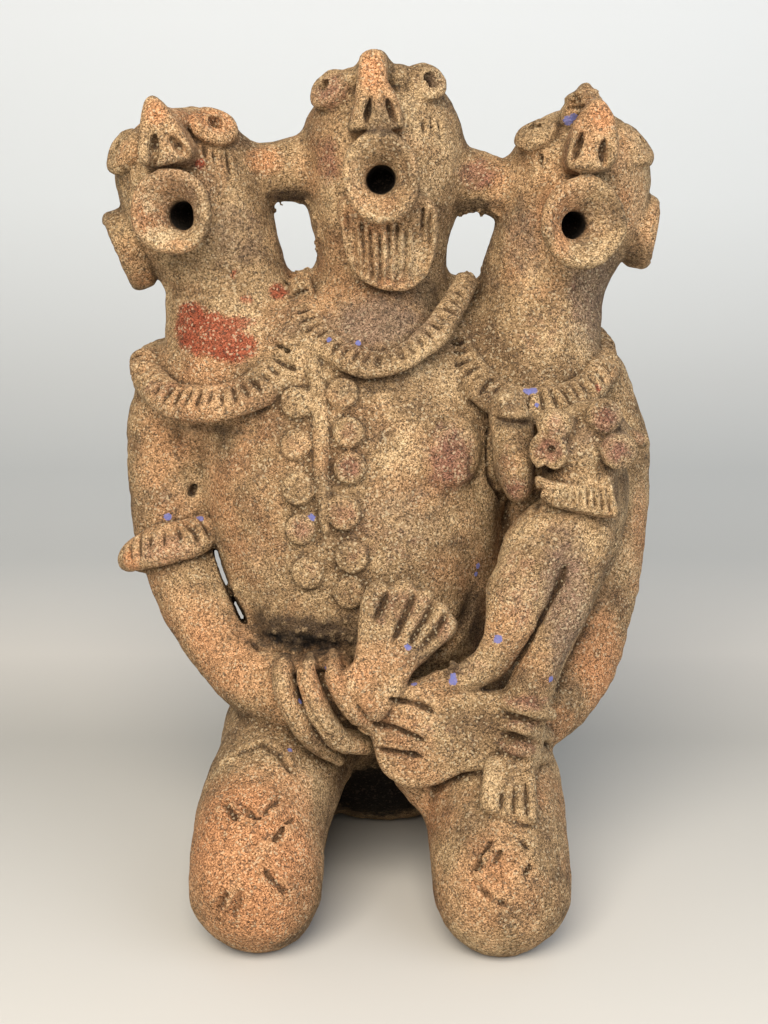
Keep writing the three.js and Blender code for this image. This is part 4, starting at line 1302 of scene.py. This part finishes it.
def seamlessPaper():  # matt card: light that falls off towards the front and the wall is in its shades
    made = bpy.data.materials.new("seamlessPaper")
    made.use_nodes = True
    tree = made.node_tree
    place = node(tree, "ShaderNodeTexCoord").outputs["Object"]
    part = node(tree, "ShaderNodeSeparateXYZ", {0: place})
    depth = node(tree, "ShaderNodeMapRange", {0: part.outputs["Y"], 1: -0.7, 2: 1.1}).outputs[0]
    height = node(tree, "ShaderNodeMapRange", {0: part.outputs["Z"], 1: 0.0, 2: 1.0}).outputs[0]
    both = node(tree, "ShaderNodeMath", {0: depth, 1: height}, operation="ADD").outputs[0]
    half = node(tree, "ShaderNodeMath", {0: both, 1: 0.5}, operation="MULTIPLY").outputs[0]
    shades = [(spot, linear(code)) for spot, code in studio["shades"]]
    tint = node(tree, "ShaderNodeValToRGB", {0: half}, shades).outputs[0]
    shader = tree.nodes["Principled BSDF"]
    tree.links.new(tint, shader.inputs["Base Color"])
    shader.inputs["Roughness"].default_value = 0.9
    return made


def makeSweep():
    profile = [(studio["paperFront"], 0.0), (studio["paperBack"] - studio["bend"], 0.0)]
    for k in range(1, 13):
        turn = math.pi / 2 * k / 12
        profile.append((studio["paperBack"] - studio["bend"] + studio["bend"] * math.sin(turn),
                        studio["bend"] * (1 - math.cos(turn))))
    profile.append((studio["paperBack"], studio["paperTop"]))
    half = studio["paperWidth"] / 2
    points = [(x, y, z) for y, z in profile for x in (-half, half)]
    faces = [(2 * i, 2 * i + 1, 2 * i + 3, 2 * i + 2) for i in range(len(profile) - 1)]
    mesh = bpy.data.meshes.new("paperSweep")
    mesh.from_pydata(points, [], faces)
    mesh.polygons.foreach_set("use_smooth", np.ones(len(faces), bool))
    mesh.materials.append(seamlessPaper())
    sweep = bpy.data.objects.new("paperSweep", mesh)
    bpy.context.scene.collection.objects.link(sweep)


def makeLight(name):
    lamp = studio[name]
    light = bpy.data.lights.new(name, "AREA")
    light.size, light.energy, light.color = lamp["size"], lamp["power"], linear(lamp["colour"])[:3]
    holder = bpy.data.objects.new(name, light)
    holder.location = lamp["place"]
    heading = Vector(studio["target"]) - Vector(lamp["place"])
    holder.rotation_euler = heading.to_track_quat("-Z", "Y").to_euler()
    bpy.context.scene.collection.objects.link(holder)


def makeCamera():
    data = bpy.data.cameras.new("photoCamera")
    data.sensor_fit = "VERTICAL"
    data.sensor_height = camera["sensor"]
    data.lens = camera["lens"]
    holder = bpy.data.objects.new("photoCamera", data)
    holder.location = ((np.array(camera["place"]) + toFrame) / 1000).tolist()
    holder.rotation_euler = (math.radians(90 - camera["pitchDown"]), 0, 0)
    bpy.context.scene.collection.objects.link(holder)
    bpy.context.scene.camera = holder


makeSweep()
makeLight("key")
makeLight("fill")
world = bpy.data.worlds.new("studioSky")
world.use_nodes = True
world.node_tree.nodes["Background"].inputs[0].default_value = linear(studio["skyColour"])
world.node_tree.nodes["Background"].inputs[1].default_value = studio["skyStrength"]
bpy.context.scene.world = world
makeCamera()
bpy.context.scene.view_settings.view_transform = "Standard"  # plain colours, as the photograph has
print("studio done")
